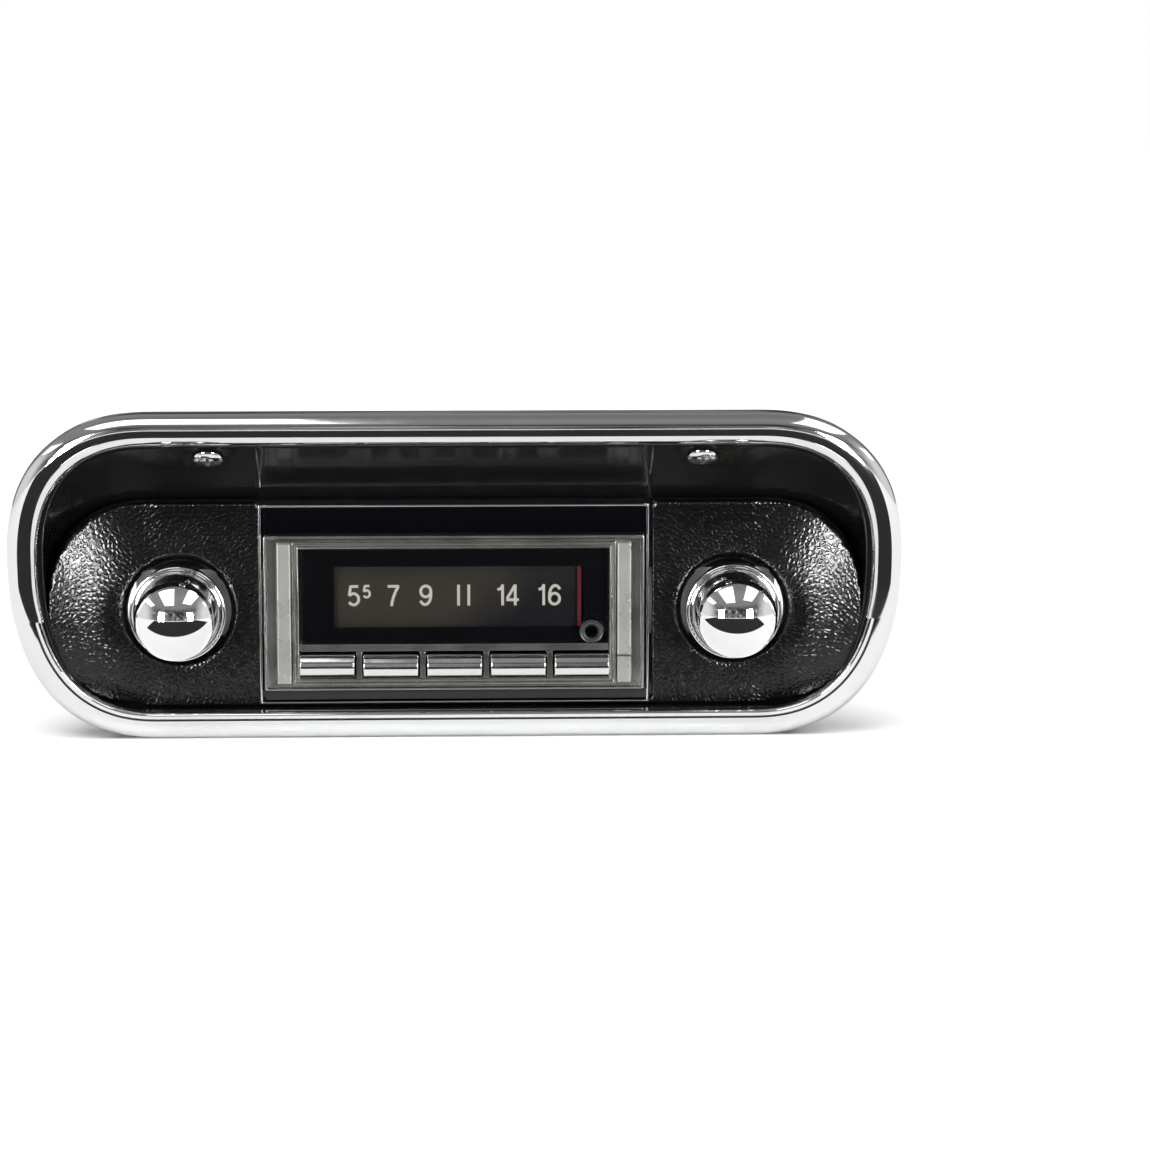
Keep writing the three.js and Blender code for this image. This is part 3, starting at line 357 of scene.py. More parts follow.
def outline(shape, by=0.0, part="whole", steps=CORNER_STEPS):
    """The (x, z) points of an outline, from the lower right up and round to the lower left."""
    half, top, bottom = shape["half"] + by, shape["top"] + by, shape["bottom"] + by

    def point(side, t):
        reach = (half - shape["flat"]) * abs(math.cos(t)) ** (2 / shape["power"])
        height = (top if t > 0 else -bottom) * abs(math.sin(t)) ** (2 / shape["power"])
        return side * (shape["flat"] + reach), shape["centre"] + height

    quarter = math.pi / 2
    joint = -math.asin(((shape["centre"] - TRIM_JOINT_Z) / bottom) ** (shape["power"] / 2))
    spans = {"whole": (-quarter, quarter), "upper": (joint, quarter), "lower": (joint, -quarter)}
    start, end = spans[part]
    ts = np.linspace(start, end, steps)
    return [point(1, t) for t in ts] + [point(-1, t) for t in ts[::-1]]


def bezel_row(shape, by, height, part="whole"):
    return [(x, bezel_y(z) - height, z) for x, z in outline(shape, by, part)]


def trim(name, section, part, slot, replaces=(), sharp=35):
    """A closed section of (offset, height) points swept along half of the bezel."""
    rows = [bezel_row(BEZEL, by, height, part) for by, height in section]
    count = len(rows[0])
    ends = [[j * count + end for j in range(len(rows))] for end in (0, count - 1)]
    faces = grid_faces(len(rows), count, wrap_rows=True) + ends
    return piece(name, sum(rows, []), faces, slot, replaces=replaces, sharp=sharp)


# Sections of the trims, as (offset, height) points.
TRIM_OUT = 7.6
TRIM_INSIDE = [(TRIM_OUT, -10.4), (TRIM_OUT - 0.6, -11), (6.4, -11), (6.4, -4.2), (4.6, -1.9),
               (-0.8, -1.9)]
UPPER_FACET = [(-1.0, -1.6), (-1.0, -0.9), (-0.85, -0.62), (1.15, 0.78), (1.35, 0.85)]
UPPER_ROLL = roll((1.75, -4.2), (TRIM_OUT - 1.75, 4.95), 96, 2, 30)
LOWER_BEAD = [(-1.0, -1.6)] + roll((0.35, -0.6), (1.05, 1.5), 178, 8, 20)
LOWER_GROOVE = [(1.5, -1.3), (2.1, -1.3)]
LOWER_FLANGE = roll((2.6, -4.9), (TRIM_OUT - 2.6, 4.4), 97, 2, 26)
# A black strip laid in the lower trim's groove: painted shade, that darkens a groove the chrome would show
# bright.
GROOVE_SHADE_STRIP = [(1.32, -0.85), (2.12, -0.85), (2.12, -1.5), (1.32, -1.5)]  # black, in the lower trim's groove


def build_trims():
    upper = UPPER_FACET + UPPER_ROLL + TRIM_INSIDE
    lower = LOWER_BEAD + LOWER_GROOVE + LOWER_FLANGE + TRIM_INSIDE
    trim("upper_trim_chrome", upper, "upper", "bezel_chrome", ["upper_trim"], 28)
    trim("lower_trim_chrome", lower, "lower", "bezel_chrome", ["lower_trim"], 28)
    # the groove's painted shade, as a black strip
    trim("lower_trim_groove_shade", GROOVE_SHADE_STRIP, "lower", "bezel_plastic")


# The moulding's lip and its back flange, as (offset, height) points.
CUP_LIP = [(2.6, -1.9), (1.6, -1.0), (1.0, -0.85), (0.45, -0.95), (0.12, -1.25), (0, -1.7)]
CUP_FLANGE = [(0.6, -5.4), (1.4, -4.6), (4.2, -4.4)]
CUP_OPENING = -20  # how far inside the panel's outline the moulding is open
WALL_STEPS = 14


def build_cup():
    """The black moulding: a rounded lip, walls that flare from the panel, and a flange behind."""

    def flat_row(by, y):
        return [(x, y, z) for x, z in outline(PANEL, by)]

    front, back = CUP_BACK
    rows = [bezel_row(BEZEL, 4.2, -2.2)] + [bezel_row(LIP, by, height) for by, height in CUP_LIP]
    lip, foot = np.array(rows[-1]), np.array(flat_row(0, front))
    for share in np.linspace(0.04, 1, WALL_STEPS):
        rows.append([tuple(p) for p in lip + (foot - lip) * share])
    rows += [flat_row(by, y) for by, y in
             ((CUP_OPENING, front), (CUP_OPENING, back), (1.9, back), (2.4, back - 0.6))]
    rows += [bezel_row(BEZEL, by, height) for by, height in CUP_FLANGE]
    faces = grid_faces(len(rows), len(rows[0]), wrap_rows=True, wrap_columns=True)
    piece("bezel_moulding", sum(rows, []), faces, "bezel_plastic", replaces=["bezel_cup"])


# The hood's ceiling as a line in y and z, from its foot at the panel to the lip.
CEILING_FOOT = np.array((CUP_BACK[0], PANEL["centre"] + PANEL["top"]))
CEILING_LIP = np.array((bezel_y(LIP["centre"] + LIP["top"]) + 2, LIP["centre"] + LIP["top"]))
CEILING_RISE = CEILING_LIP - CEILING_FOOT
CEILING_UP = np.array((-CEILING_RISE[1], CEILING_RISE[0])) / np.linalg.norm(CEILING_RISE)
CEILING_UP = CEILING_UP if CEILING_UP[1] > 0 else -CEILING_UP
# Where the painted reflection strips stand: over the sides of the middle frame, whose bead the glossy
# ceiling mirrors.
REFLECTION_STRIP_X = (-54.9, 54.5)
REFLECTION_STRIP_SECTION = [(0.3, -0.3), (0.3, 0.12), (0.12, 0.25), (-0.12, 0.25), (-0.3, 0.12), (-0.3, -0.3)]


def build_ceiling_reflection_strips():
    """Two thin bright strips that run up the ceiling, in line with the sides of the middle frame: a painted
    reflection of the middle frame's bright bead in the glossy ceiling, built as chrome.
    """
    count = len(REFLECTION_STRIP_SECTION)
    ends = [tuple(range(count)), tuple(range(count, 2 * count))]
    parts = []
    for x in REFLECTION_STRIP_X:
        verts = []
        for share in (0.12, 0.97):
            for half, proud in REFLECTION_STRIP_SECTION:
                y, z = CEILING_FOOT + CEILING_RISE * share - CEILING_UP * proud
                verts.append((x + half, y, z))
        parts.append((verts, grid_faces(2, count, wrap_columns=True) + ends))
    piece("ceiling_reflection_strips", *several(parts), "bezel_chrome")


SCREW = dict(head=4.3, dome=0.95, rim=0.3, shank=2.0, length=9.0, slot=(0.5, 2.1), depth=0.35,
             inward=1.6)


def cut_cross(obj, half, bottom):
    """A Phillips recess: two crossed slots, down to y = bottom."""
    cutters = []
    for x, z in (half, half[::-1]):
        verts, faces = box_mesh((-x, x), (-3, bottom), (-z, z))
        mesh = bpy.data.meshes.new("cutter")
        mesh.from_pydata([at(*v) for v in verts], [], faces)
        cutter = bpy.data.objects.new("cutter", mesh)
        bpy.context.scene.collection.objects.link(cutter)
        cutters.append(cutter)
        obj.modifiers.new("recess", "BOOLEAN").object = cutter
    graph = bpy.context.evaluated_depsgraph_get()
    mesh = bpy.data.meshes.new_from_object(obj.evaluated_get(graph))
    obj.modifiers.clear()
    obj.data = mesh
    for cutter in cutters:
        bpy.data.objects.remove(cutter)


def build_ceiling_screws():
    """Oval-head Phillips screws that stand square to the hood's ceiling."""
    head, dome, rim, shank, length = (SCREW[k] for k in ("head", "dome", "rim", "shank", "length"))
    profile = [(0, -dome - rim)]
    for t in map(math.radians, range(6, 91, 7)):
        profile.append((head * math.sin(t), -rim - dome * math.cos(t)))
    profile += [(head - 0.4, 0.2), (shank, 0.3), (shank, length - 0.6), (shank - 0.6, length), (0, length)]
    into = Vector((0, *CEILING_UP))
    turn = Vector((0, 1, 0)).rotation_difference(into).to_matrix().to_4x4()
    for side in ("left", "right"):
        obj = turned(f"hood_screw_{side}", profile, 0, 0, "bezel_chrome", count=48)
        cut_cross(obj, SCREW["slot"], -rim - dome * SCREW["depth"])
        # The head's seat is where the CAD screw crosses the ceiling.
        centre = middle(f"bezel_screw_{side}")
        inward = Vector((-SCREW["inward"] if centre.x > 0 else SCREW["inward"], 0, 0))
        seat = centre + (inward - into * (length - dome - rim) / 2) * MM
        obj.data.transform(Matrix.Translation(-at(0, 0, 0)))
        obj.data.transform(turn)
        obj.data.transform(Matrix.Translation(seat))
        shade(obj, 30)
        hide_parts(f"bezel_screw_{side}")


def panel_value(x, z, by):
    """Below 0 inside the grained panel's outline, 0 on it."""
    reach = np.maximum(np.abs(x) - PANEL["flat"], 0) / (PANEL["half"] + by - PANEL["flat"])
    height = np.where(z > PANEL["centre"], PANEL["top"], PANEL["bottom"]) + by
    return reach ** PANEL["power"] + (np.abs(z - PANEL["centre"]) / height) ** PANEL["power"] - 1


GRID_PITCH, GRID_EDGE = 1.0, -0.5  # of the grained panel's mesh, and how far inside the outline it ends
PANEL_SKIRT = 2.2  # how far back its edges are drawn
DISH_START, DISH_DEPTH = 84, 9.5  # the sheet's ends come forward from this x, by this much at their tips
DISH_Z = 12  # the z that an end's twist is measured from
TOP_BEND = (-4, 35)  # the sheet's top comes forward 1 mm over this height above this z
RECESS_ROUND = (2.0, 1.6)  # how wide and how deep each knob recess is rounded


def pulled_to_outline(x, z, out):
    """The outer points moved onto the panel's outline, by Newton's steps along its slope."""
    tiny = 0.01
    for _ in range(8):
        value = panel_value(x, z, GRID_EDGE)
        gx = (panel_value(x + tiny, z, GRID_EDGE) - value) / tiny
        gz = (panel_value(x, z + tiny, GRID_EDGE) - value) / tiny
        step = np.where(out & (value > 0), value / np.maximum(gx * gx + gz * gz, 1e-9), 0)
        x, z = x - step * gx, z - step * gz
    return x, z


def in_middle(x, z):
    return (np.abs(x) < CENTRE_HALF) & (z < CENTRE_HIGH) & (z > CENTRE_LOW)


def panel_depth(x, z):
    """The sheet's y: dished forward at its ends, and rounded back into each knob recess."""
    along = np.clip((np.abs(x) - DISH_START) / (PANEL["half"] - DISH_START), 0, 1)
    above = np.clip((z - TOP_BEND[0]) / TOP_BEND[1], 0, 1)
    lift = z - DISH_Z
    dish = along * (0.13 * lift + 0.0055 * lift ** 2) - DISH_DEPTH * along ** 2 - above ** 6
    wide, deep = RECESS_ROUND
    near = np.clip((np.hypot(np.abs(x) - SHAFT_X, z) - KNOB_RECESS_R) / wide, 0, 1)
    return PANEL_FRONT + dish + deep * (1 - np.sqrt(1 - (1 - near) ** 2))


def build_grain_panel():
    """The grained sheet: a grid of cells, its outer points drawn to the sheet's own edges."""
    xs = np.arange(-115, 115.01, GRID_PITCH)
    zs = np.arange(-28, 32.01, GRID_PITCH)
    x, z = [g.ravel().astype(float) for g in np.meshgrid(xs, zs)]
    inside = (panel_value(x, z, GRID_EDGE) < 0) & (np.hypot(np.abs(x) - SHAFT_X, z) > KNOB_RECESS_R)
    inside &= ~in_middle(x, z)
    wide = len(xs)
    corners = [j * wide + i for j in range(len(zs) - 1) for i in range(wide - 1)]
    cells = [(k, k + 1, k + wide + 1, k + wide) for k in corners]
    kept = np.array([c for c in cells if sum(inside[k] for k in c) >= 2])
    used = np.unique(kept)

    x, z = pulled_to_outline(x, z, ~inside)
    side = np.sign(x)
    distance = np.maximum(np.hypot(x - side * SHAFT_X, z), 1e-6)
    scale = np.where(distance < KNOB_RECESS_R, KNOB_RECESS_R / distance, 1)
    x, z = side * SHAFT_X + (x - side * SHAFT_X) * scale, z * scale
    middle_cell = in_middle(x, z)
    x = np.where(middle_cell & (np.abs(x) > CENTRE_HALF - GRID_PITCH), np.sign(x) * CENTRE_HALF, x)
    z = np.where(middle_cell & (z > CENTRE_HIGH - GRID_PITCH), CENTRE_HIGH, z)
    z = np.where(middle_cell & (z < CENTRE_LOW + GRID_PITCH), CENTRE_LOW, z)

    index = -np.ones(len(x), int)
    index[used] = np.arange(len(used))
    verts = np.stack([x[used], panel_depth(x, z)[used], z[used]], 1)
    obj = piece("panel_sheet", verts.tolist(), index[kept], "panel_grain", replaces=["grain_panel"],
                sharp=60)
    made = bmesh.new()
    made.from_mesh(obj.data)
    skirt = bmesh.ops.extrude_edge_only(made, edges=[e for e in made.edges if e.is_boundary])
    back = at(0, PANEL_FRONT + PANEL_SKIRT, 0).y
    for v in skirt["geom"]:
        if isinstance(v, bmesh.types.BMVert):
            v.co.y = max(v.co.y, back)
    bmesh.ops.recalc_face_normals(made, faces=made.faces)
    made.to_mesh(obj.data)
    made.free()
    shade(obj, 50)
    smooth = obj.modifiers.new("finer", "SUBSURF")
    smooth.levels = smooth.render_levels = 1


BEAD_SECTION = [(0, 1.0), (0, -1.7)] + roll((0.45, -1.75), (0.45, 0.6), 180, 360, 10) + [(0.9, 1.0)]
PLATE_Y = (-1.2, 1.1)
PLATE_HOLE = dict(x=52, z=(-21.5, 20.5))


def build_centre():
    """The bright bead round the middle, and the glossy plate inside it."""
    half = CENTRE_HALF - 0.3
    bead = frame_mesh(-0.3, half, CENTRE_LOW + 0.1, CENTRE_HIGH - 0.3, BEAD_SECTION, 0.4)
    piece("center_bead", *bead, "bezel_chrome", replaces=["center_frame"])
    half, low, high = half - 1.1, CENTRE_LOW + 1.2, CENTRE_HIGH - 1.4
    hole_x, hole_z = PLATE_HOLE["x"], PLATE_HOLE["z"]
    parts = [((-half, half), PLATE_Y, (hole_z[1], high)), ((-half, half), PLATE_Y, (low, hole_z[0])),
             ((-half, -hole_x), PLATE_Y, hole_z), ((hole_x, half), PLATE_Y, hole_z)]
    boxes("center_plate_gloss", parts, "center_gloss", replaces=["center_plate"], width=0.12)


# ---- Nosepiece, dial and buttons ----

WINDOW = dict(half=43.5, low=-9.6, high=17.5)
# Sections of the nosepiece's outer band and of its window frame, as (inset, y) points.
OUTER_BAND = [(0, -1.5), (0, -3.9), (0.25, -4.2), (0.7, -4.2), (0.95, -3.9), (1.05, -3.4), (3.6, -3.3),
              (3.8, -3.0), (3.8, -1.5)]
WINDOW_BAND = [(0, -1.6), (0, -4.3), (0.2, -4.6), (0.75, -4.6), (0.95, -4.35), (1.05, -3.9), (1.5, -3.9),
               (1.6, -4.2), (1.8, -4.3), (2.3, -3.4), (2.45, -1.6)]
WINDOW_BORDER, BUTTON_ROW = 2.4, 11.6  # the frame's width round the window, and its depth below it
RIB_X, BACK_OF_FRONT = 43.6, -1.6
COLUMN = dict(x=(46.1, 50.1), y=(-5.4, BACK_OF_FRONT), z=(-20.6, 19.6))
COLUMN_STEP = ((45.4, 49.6), (-5.55, -3), (-13.0, -12.4))


def button_walls():
    """The casting's ribs over, under and between the buttons."""
    caps = [span(b) for b in BUTTONS]
    low, high = caps[0][0].z - 0.7, caps[0][1].z + 0.7
    shelves = [(high, WINDOW["low"] + 0.2), (WINDOW["low"] - 10.0, low)]
    walls = [(-RIB_X, caps[0][0].x - 0.3)]
    walls += [(a[1].x + 0.45, b[0].x - 0.45) for a, b in zip(caps, caps[1:])]
    walls += [(caps[-1][1].x + 0.3, RIB_X)]
    parts = [box_mesh((-RIB_X, RIB_X), (-4.0, BACK_OF_FRONT), z) for z in shelves]
    return parts + [box_mesh(w, (-4.4, BACK_OF_FRONT), (low, high)) for w in walls if w[1] - w[0] > 0.3]


def build_nosepiece():
    """The die casting: an outer band, bright side columns, a stepped window frame and button ribs."""
    half, low, high = NOSE_HIGH.x, NOSE_LOW.z, NOSE_HIGH.z
    window_low, window_high = WINDOW["low"] - BUTTON_ROW, WINDOW["high"] + WINDOW_BORDER
    parts = [
        frame_mesh(0, half, low, high, OUTER_BAND, 0.9),
        frame_mesh(0, WINDOW["half"] + WINDOW_BORDER, window_low, window_high, WINDOW_BAND, 0.5),
        box_mesh((-50.2, 50.2), (-3.1, BACK_OF_FRONT), (window_high - 0.1, high - 3.7)),
        box_mesh((-50.2, 50.2), (-3.1, BACK_OF_FRONT), (low + 3.0, window_low + 2.0)),
    ]
    verts, faces = several(parts + button_walls())
    verts = [(x + NOSE_SHIFT, y, z) for x, y, z in verts]
    bevel(piece("nose_casting", verts, faces, "nose_metal", replaces=["nosepiece"]), 0.14, 2)
    columns = []
    for side in (-1, 1):
        x = sorted(side * reach + NOSE_SHIFT for reach in COLUMN["x"])
        columns.append((x, COLUMN["y"], COLUMN["z"]))
    satin = boxes("nose_columns", columns, "nose_metal", width=0.45)
    satin.data.materials[0] = material("satin_column", (0.4, 0.4, 0.38), 0.5, 0.3, tint=(0.4, 0.03),
                                       rough=(0.1, 0.25, 0.32),
                                       bumps=[("noise", 0.3, 0.004, (1, 1, 0.2))])
    boxes("column_step", [COLUMN_STEP], "nose_metal", width=0.1)


CROWN, CAP_LENGTH = 2.2, 8.5  # how far a button's front bulges, and how long its cap is


def build_buttons():
    for i, name in enumerate(BUTTONS):
        low, high = span(name)
        cap_back = low.y + CAP_LENGTH
        x, z = (high.x + low.x) / 2 + NOSE_SHIFT, (high.z + low.z) / 2
        half_wide, half_high = (high.x - low.x) / 2, (high.z - low.z) / 2
        crown = roll((low.y + CROWN, z), (CROWN, half_high), 100, 260, 20)
        section = [(cap_back, z + half_high)] + crown + [(cap_back, z - half_high)]
        rows = [[(end, a, b) for a, b in section] for end in (x - half_wide, x + half_wide)]
        count = len(section)
        ends = [list(range(count)), list(range(count, 2 * count))]
        cap = (rows[0] + rows[1], grid_faces(2, count) + ends + [[0, count - 1, 2 * count - 1, count]])
        plunger = box_mesh((x - 2.5, x + 2.5), (cap_back - 0.5, high.y), (z - 0.8, z + 0.8))
        obj = piece(f"{name}_cap", *several([cap, plunger]), "button_chrome", f"{name}_stem", [name], 40)
        bevel(obj, 0.35, 3, 50)


DIGIT_HEIGHT, DIGIT_FOOT, DIGIT_STROKE = 6.0, 0.85, 0.78


def bow(cx, cz, rx, rz, start, end, count=22):
    return roll((cx, cz), (rx, rz), start, end, count)


# Strokes of each digit, for a height of 1.
SIX = [bow(0, 0.31, 0.24, 0.26, 0, 360, 36), bow(0.035, 0.47, 0.275, 0.47, 200, 38)]
STROKES = {
    "1": [[(-0.17, 0.76), (-0.03, 0.8), (0.05, 0.9), (0.07, 1.0)], [(0.07, 1.0), (0.07, 0)]],
    "4": [[(0.12, 0), (0.12, 1)], [(0.1, 0.95), (-0.27, 0.32)], [(-0.3, 0.27), (0.29, 0.27)]],
    "5": [[(0.22, 0.94), (-0.14, 0.94)], [(-0.13, 0.97), (-0.21, 0.5)],
          bow(0, 0.33, 0.24, 0.27, 145, -150)],
    "6": SIX,
    "7": [[(-0.27, 0.94), (0.27, 0.94)],
          [(0.24, 0.94), (0.1, 0.68), (0.0, 0.42), (-0.06, 0.2), (-0.09, 0)]],
    "9": [[(-x, 1 - z) for x, z in stroke] for stroke in SIX],
    "I": [[(0, 0), (0, 1)]],
}
# Each mark on the dial: its digit, the middle of its place and its share of the full height.
MARKS = [("5", -28.6, 1), ("5", -24.9, 0.62), ("7", -17.3, 1), ("9", -8.1, 1), ("I", 1.2, 1),
         ("I", 4.1, 1), ("1", 13.3, 1), ("4", 16.6, 1), ("1", 25.0, 1), ("6", 28.5, 1)]


def ribbon(points, width, front, back):
    """A flat stroke of one width along a line of (x, z) points."""
    line = np.array(points, float)
    along = np.gradient(line, axis=0)
    along /= np.linalg.norm(along, axis=1)[:, None]
    side = np.stack([-along[:, 1], along[:, 0]], 1) * width / 2
    verts = []
    for (x, z), (dx, dz) in zip(line, side):
        for sign, y in ((1, front), (-1, front), (-1, back), (1, back)):
            verts.append((x + sign * dx, y, z + sign * dz))
    last = 4 * (len(line) - 1)
    ends = [(0, 1, 2, 3), (last, last + 1, last + 2, last + 3)]
    return verts, grid_faces(len(line), 4, wrap_columns=True) + ends


DIAL_FADE = ((-20, -16), (24, 24))  # the (x, z) of the painted fade's two corners
DIAL_WARM, DIAL_DARK = (0.1, 0.087, 0.055, 1), (0.002, 0.002, 0.01, 1)


def dial_paint():
    """Warm grey that fades to blue-black towards the dial's lower right."""
    tree = LOOKS["dial_paint"].node_tree
    place = tree.nodes.new("ShaderNodeTexCoord")
    split = tree.nodes.new("ShaderNodeSeparateXYZ")
    tree.links.new(place.outputs["Object"], split.inputs["Vector"])
    home = NODES["dial_plate"].matrix_world.inverted()
    low, high = [home @ at(x, 0, z) for x, z in DIAL_FADE]
    across = tree.nodes.new("ShaderNodeMath")
    across.operation = "SUBTRACT"
    for i, axis in enumerate("xz"):
        part = tree.nodes.new("ShaderNodeMapRange")
        part.inputs["From Min"].default_value = getattr(low, axis)
        part.inputs["From Max"].default_value = getattr(high, axis)
        tree.links.new(split.outputs[axis.upper()], part.inputs["Value"])
        tree.links.new(part.outputs["Result"], across.inputs[i])
    ramp = tree.nodes.new("ShaderNodeValToRGB")
    for stop, (position, color) in zip(ramp.color_ramp.elements, ((0.0, DIAL_WARM), (0.5, DIAL_DARK))):
        stop.position, stop.color = position, color
    tree.links.new(across.outputs["Value"], ramp.inputs["Fac"])
    tree.links.new(ramp.outputs["Color"], tree.nodes["Principled BSDF"].inputs["Base Color"])


def build_marks():
    """The dial's numbers, each stroke a little proud of the one before. Their paint glows of itself, a
    painted light, though no lamp lights the dial.
    """
    # painted glow: an emission on the numbers' paint makes them shine on their own
    painted_glow_ink = material("dial_numbers_painted_glow", (0.62, 0.6, 0.52), 0, 0.5, tint=(0.8, 0.06), Emission_Strength=0.9,
                    Emission_Color=(0.8, 0.78, 0.66, 1))
    face = span("dial_plate")[0].y
    for i, (digit, x, share) in enumerate(MARKS):
        size = DIGIT_HEIGHT * share
        foot = DIGIT_FOOT + DIGIT_HEIGHT - size
        width = DIGIT_STROKE * (1 if share == 1 else 0.8)
        parts = []
        for j, stroke in enumerate(STROKES[digit]):
            points = [(x + NOSE_SHIFT + px * size, foot + pz * size) for px, pz in stroke]
            parts.append(ribbon(points, width, face - 0.12 - 0.01 * j, face - 0.02))
        mark = piece(f"dial_mark_{i + 1}", *several(parts), "dial_ink")
        mark.data.materials[0] = painted_glow_ink


JACK_RING = [(2.35, -3.5), (2.45, -3.8), (2.75, -3.8), (2.85, -3.5), (2.35, -3.5)]


def build_jack():
    """The small round socket in the dial's corner, with a metal ring."""
    low, high = span("aux_jack")
    x, z, r = (low.x + high.x) / 2 + NOSE_SHIFT, (low.z + high.z) / 2, (high.x - low.x) / 2
    socket = [(1.75, -3.2), (2.0, -3.55), (2.3, -3.6), (2.5, -3.4), (2.7, -3.45), (3.1, -3.6), (r, -3.4),
              (r, -2.9), (r - 0.5, -2.9), (r - 0.5, 3.2), (r - 0.9, 3.4), (r - 0.9, 13), (0, 13), (0, 11),
              (1.75, 11), (1.75, -3.2)]
    turned("aux_ring", JACK_RING, x, z, "nose_metal", count=48)
    turned("aux_socket", socket, x, z, "black_plastic", replaces=["aux_jack"], count=48)


# ---- Knobs ----

DOME_CURVE, SKIRT_R, NECK_R, BORE_R = 14.0, 10.4, 6.0, 1.9
FLUTES, FLUTE_DEPTH = 60, 0.7
RING_BORE = 3.3


def dome_profile(low, high):
    """A shallow dome, a rounded rim, a fluted skirt and a neck, from a knob's two corners."""
    r, front, back = (high.x - low.x) / 2, low.y, high.y
    edge = r - 0.25
    reach = math.asin(edge / DOME_CURVE)
    rim = front + DOME_CURVE * (1 - math.cos(reach))
    skirt_end = rim + 5.0
    profile = [(DOME_CURVE * math.sin(t), front + DOME_CURVE * (1 - math.cos(t)))
               for t in np.linspace(0, reach, 40)]
    profile += arc(edge - 0.2, rim + 0.45, 0.45, -40, 90, 9)
    profile += [(SKIRT_R, rim + 1.1), (SKIRT_R, rim + 1.2, FLUTE_DEPTH),
                (SKIRT_R, skirt_end - 0.3, FLUTE_DEPTH), (SKIRT_R - 0.3, skirt_end)]
    profile += [(8.4, skirt_end + 1.4), (NECK_R + 0.4, skirt_end + 2.6), (NECK_R, skirt_end + 3.2),
                (NECK_R, back - 0.6), (NECK_R + 0.4, back - 0.4), (NECK_R + 0.4, back)]
    return profile + [(BORE_R, back), (BORE_R, back - 6), (0, back - 6)]


def dish_profile(low, high):
    """A ring knob: a rolled rim, a second small bead, a dished face and a hub."""
    r, front, back = (high.x - low.x) / 2, low.y, high.y
    dish = [(RING_BORE, back), (r - 1.0, back)] + arc(r - 0.8, back - 0.8, 0.8, 90, 0, 5)
    dish += arc(r - 0.5, front + 0.5, 0.5, 0, -150, 9)
    dish += [(r - 1.15, front + 0.5), (r - 1.35, front + 0.9)]
    dish += arc(r - 1.8, front + 0.9, 0.38, 0, -160, 6)
    dish += [(r - 2.4, front + 1.5), (r - 2.7, front + 2.2), (r - 4.5, front + 2.6), (7.4, front + 2.6),
             (6.4, front + 2.2), (5.9, front + 1.2), (5.6, front + 0.3), (5.0, front)]
    return dish + [(RING_BORE, front), (RING_BORE, back)]


def build_knobs():
    for ball, ring in (("volume", "tone"), ("tuning", "fader")):
        low, high = span(f"{ball}_knob")
        x = (low.x + high.x) / 2
        turned(f"{ball}_dome", dome_profile(low, high), x, 0, "knob_chrome", f"{ball}_stem",
               [f"{ball}_knob"], 240, flutes=FLUTES)
        turned(f"{ring}_dish", dish_profile(*span(f"{ring}_ring")), x, 0, "knob_chrome", f"{ring}_stem",
               [f"{ring}_ring"], 120)


# ---- Chassis and rear ----

# CAD nodes whose own shape stands with broken edges: the node, its slot and the width of its edges.
REFINED = [("chassis", "zinc_sheet", 0.4), ("top_cover", "zinc_sheet", 0.35),
           ("heat_sink", "aluminium", 0.25), ("support_bracket", "zinc_sheet", 0.4),
           ("terminal_block", "phenolic", 0.3), ("bracket_nut", "steel", 0.3)]


def placed(node):
    """Where a node that is turned about y stands: its middle in x and z, its front and its back."""
    low, high = span(node)
    return (low.x + high.x) / 2, (low.z + high.z) / 2, low.y, high.y


def build_sockets():
    x, z, front, back = placed("antenna_socket")
    seat = front + 6
    socket = [(4.0, front + 2), (4.0, back - 0.5), (4.4, back), (5.0, back), (5.4, back - 0.4),
              (5.4, seat + 2.5), (5.7, seat + 2), (8.1, seat + 2), (8.5, seat + 1.6), (8.5, seat), (5, seat),
              (5, front), (0, front), (0, front + 2), (4.0, front + 2)]
    turned("antenna_shell", socket, x, z, "steel", replaces=["antenna_socket"], count=56)
    x, z, front, back = placed("fuse_holder")
    fuse = [(0, front), (7, front), (7, front + 2), (6.5, front + 2.5), (5.8, front + 2.5),
            (5.4, front + 2.8), (5.4, back - 2.6), (5.0, back - 2.3), (5.0, back - 0.5), (4.5, back),
            (1.6, back), (1.4, back - 0.6), (0, back - 0.6)]
    turned("fuse_cap", fuse, x, z, "black_plastic", replaces=["fuse_holder"], count=48)


FLANGE_OVAL, FLANGE_THICK, RIVET_Z = (7.4, 14), 1.6, 10.4


def build_transistor():
    """A power transistor: an oval flange, a round can and two rivets."""
    x, z, front, back = placed("output_transistor")
    wide, tall = FLANGE_OVAL
    oval = [(x + wide * math.cos(t), z + tall * math.sin(t))
            for t in np.linspace(0, 2 * math.pi, 64, endpoint=False)]
    rows = [(a, y, b) for y in (front, front + FLANGE_THICK) for a, b in oval]
    count = len(oval)
    ends = [list(range(count)), list(range(count, 2 * count))]
    flange = (rows, grid_faces(2, count, wrap_columns=True) + ends)
    can = [(6.4, front + 1.2), (6.4, front + 2.6), (5.9, front + 2.8), (5.9, back - 0.8), (5.3, back),
           (0, back)]
    rivet = [(1.9, front + 1.5), (1.9, front + 2.3), (1.3, front + 2.9), (0, front + 3.0)]
    rivets = [turned_mesh(rivet, x, z + dz, 24) for dz in (-RIVET_Z, RIVET_Z)]
    piece("transistor_can", *several([flange, turned_mesh(can, x, z, 56), *rivets]), "steel",
          replaces=["output_transistor"])


SCREW_HEAD = [(2.6, 0), (2.6, -0.5), (2.0, -1.3), (0.9, -1.6), (0, -1.65)]


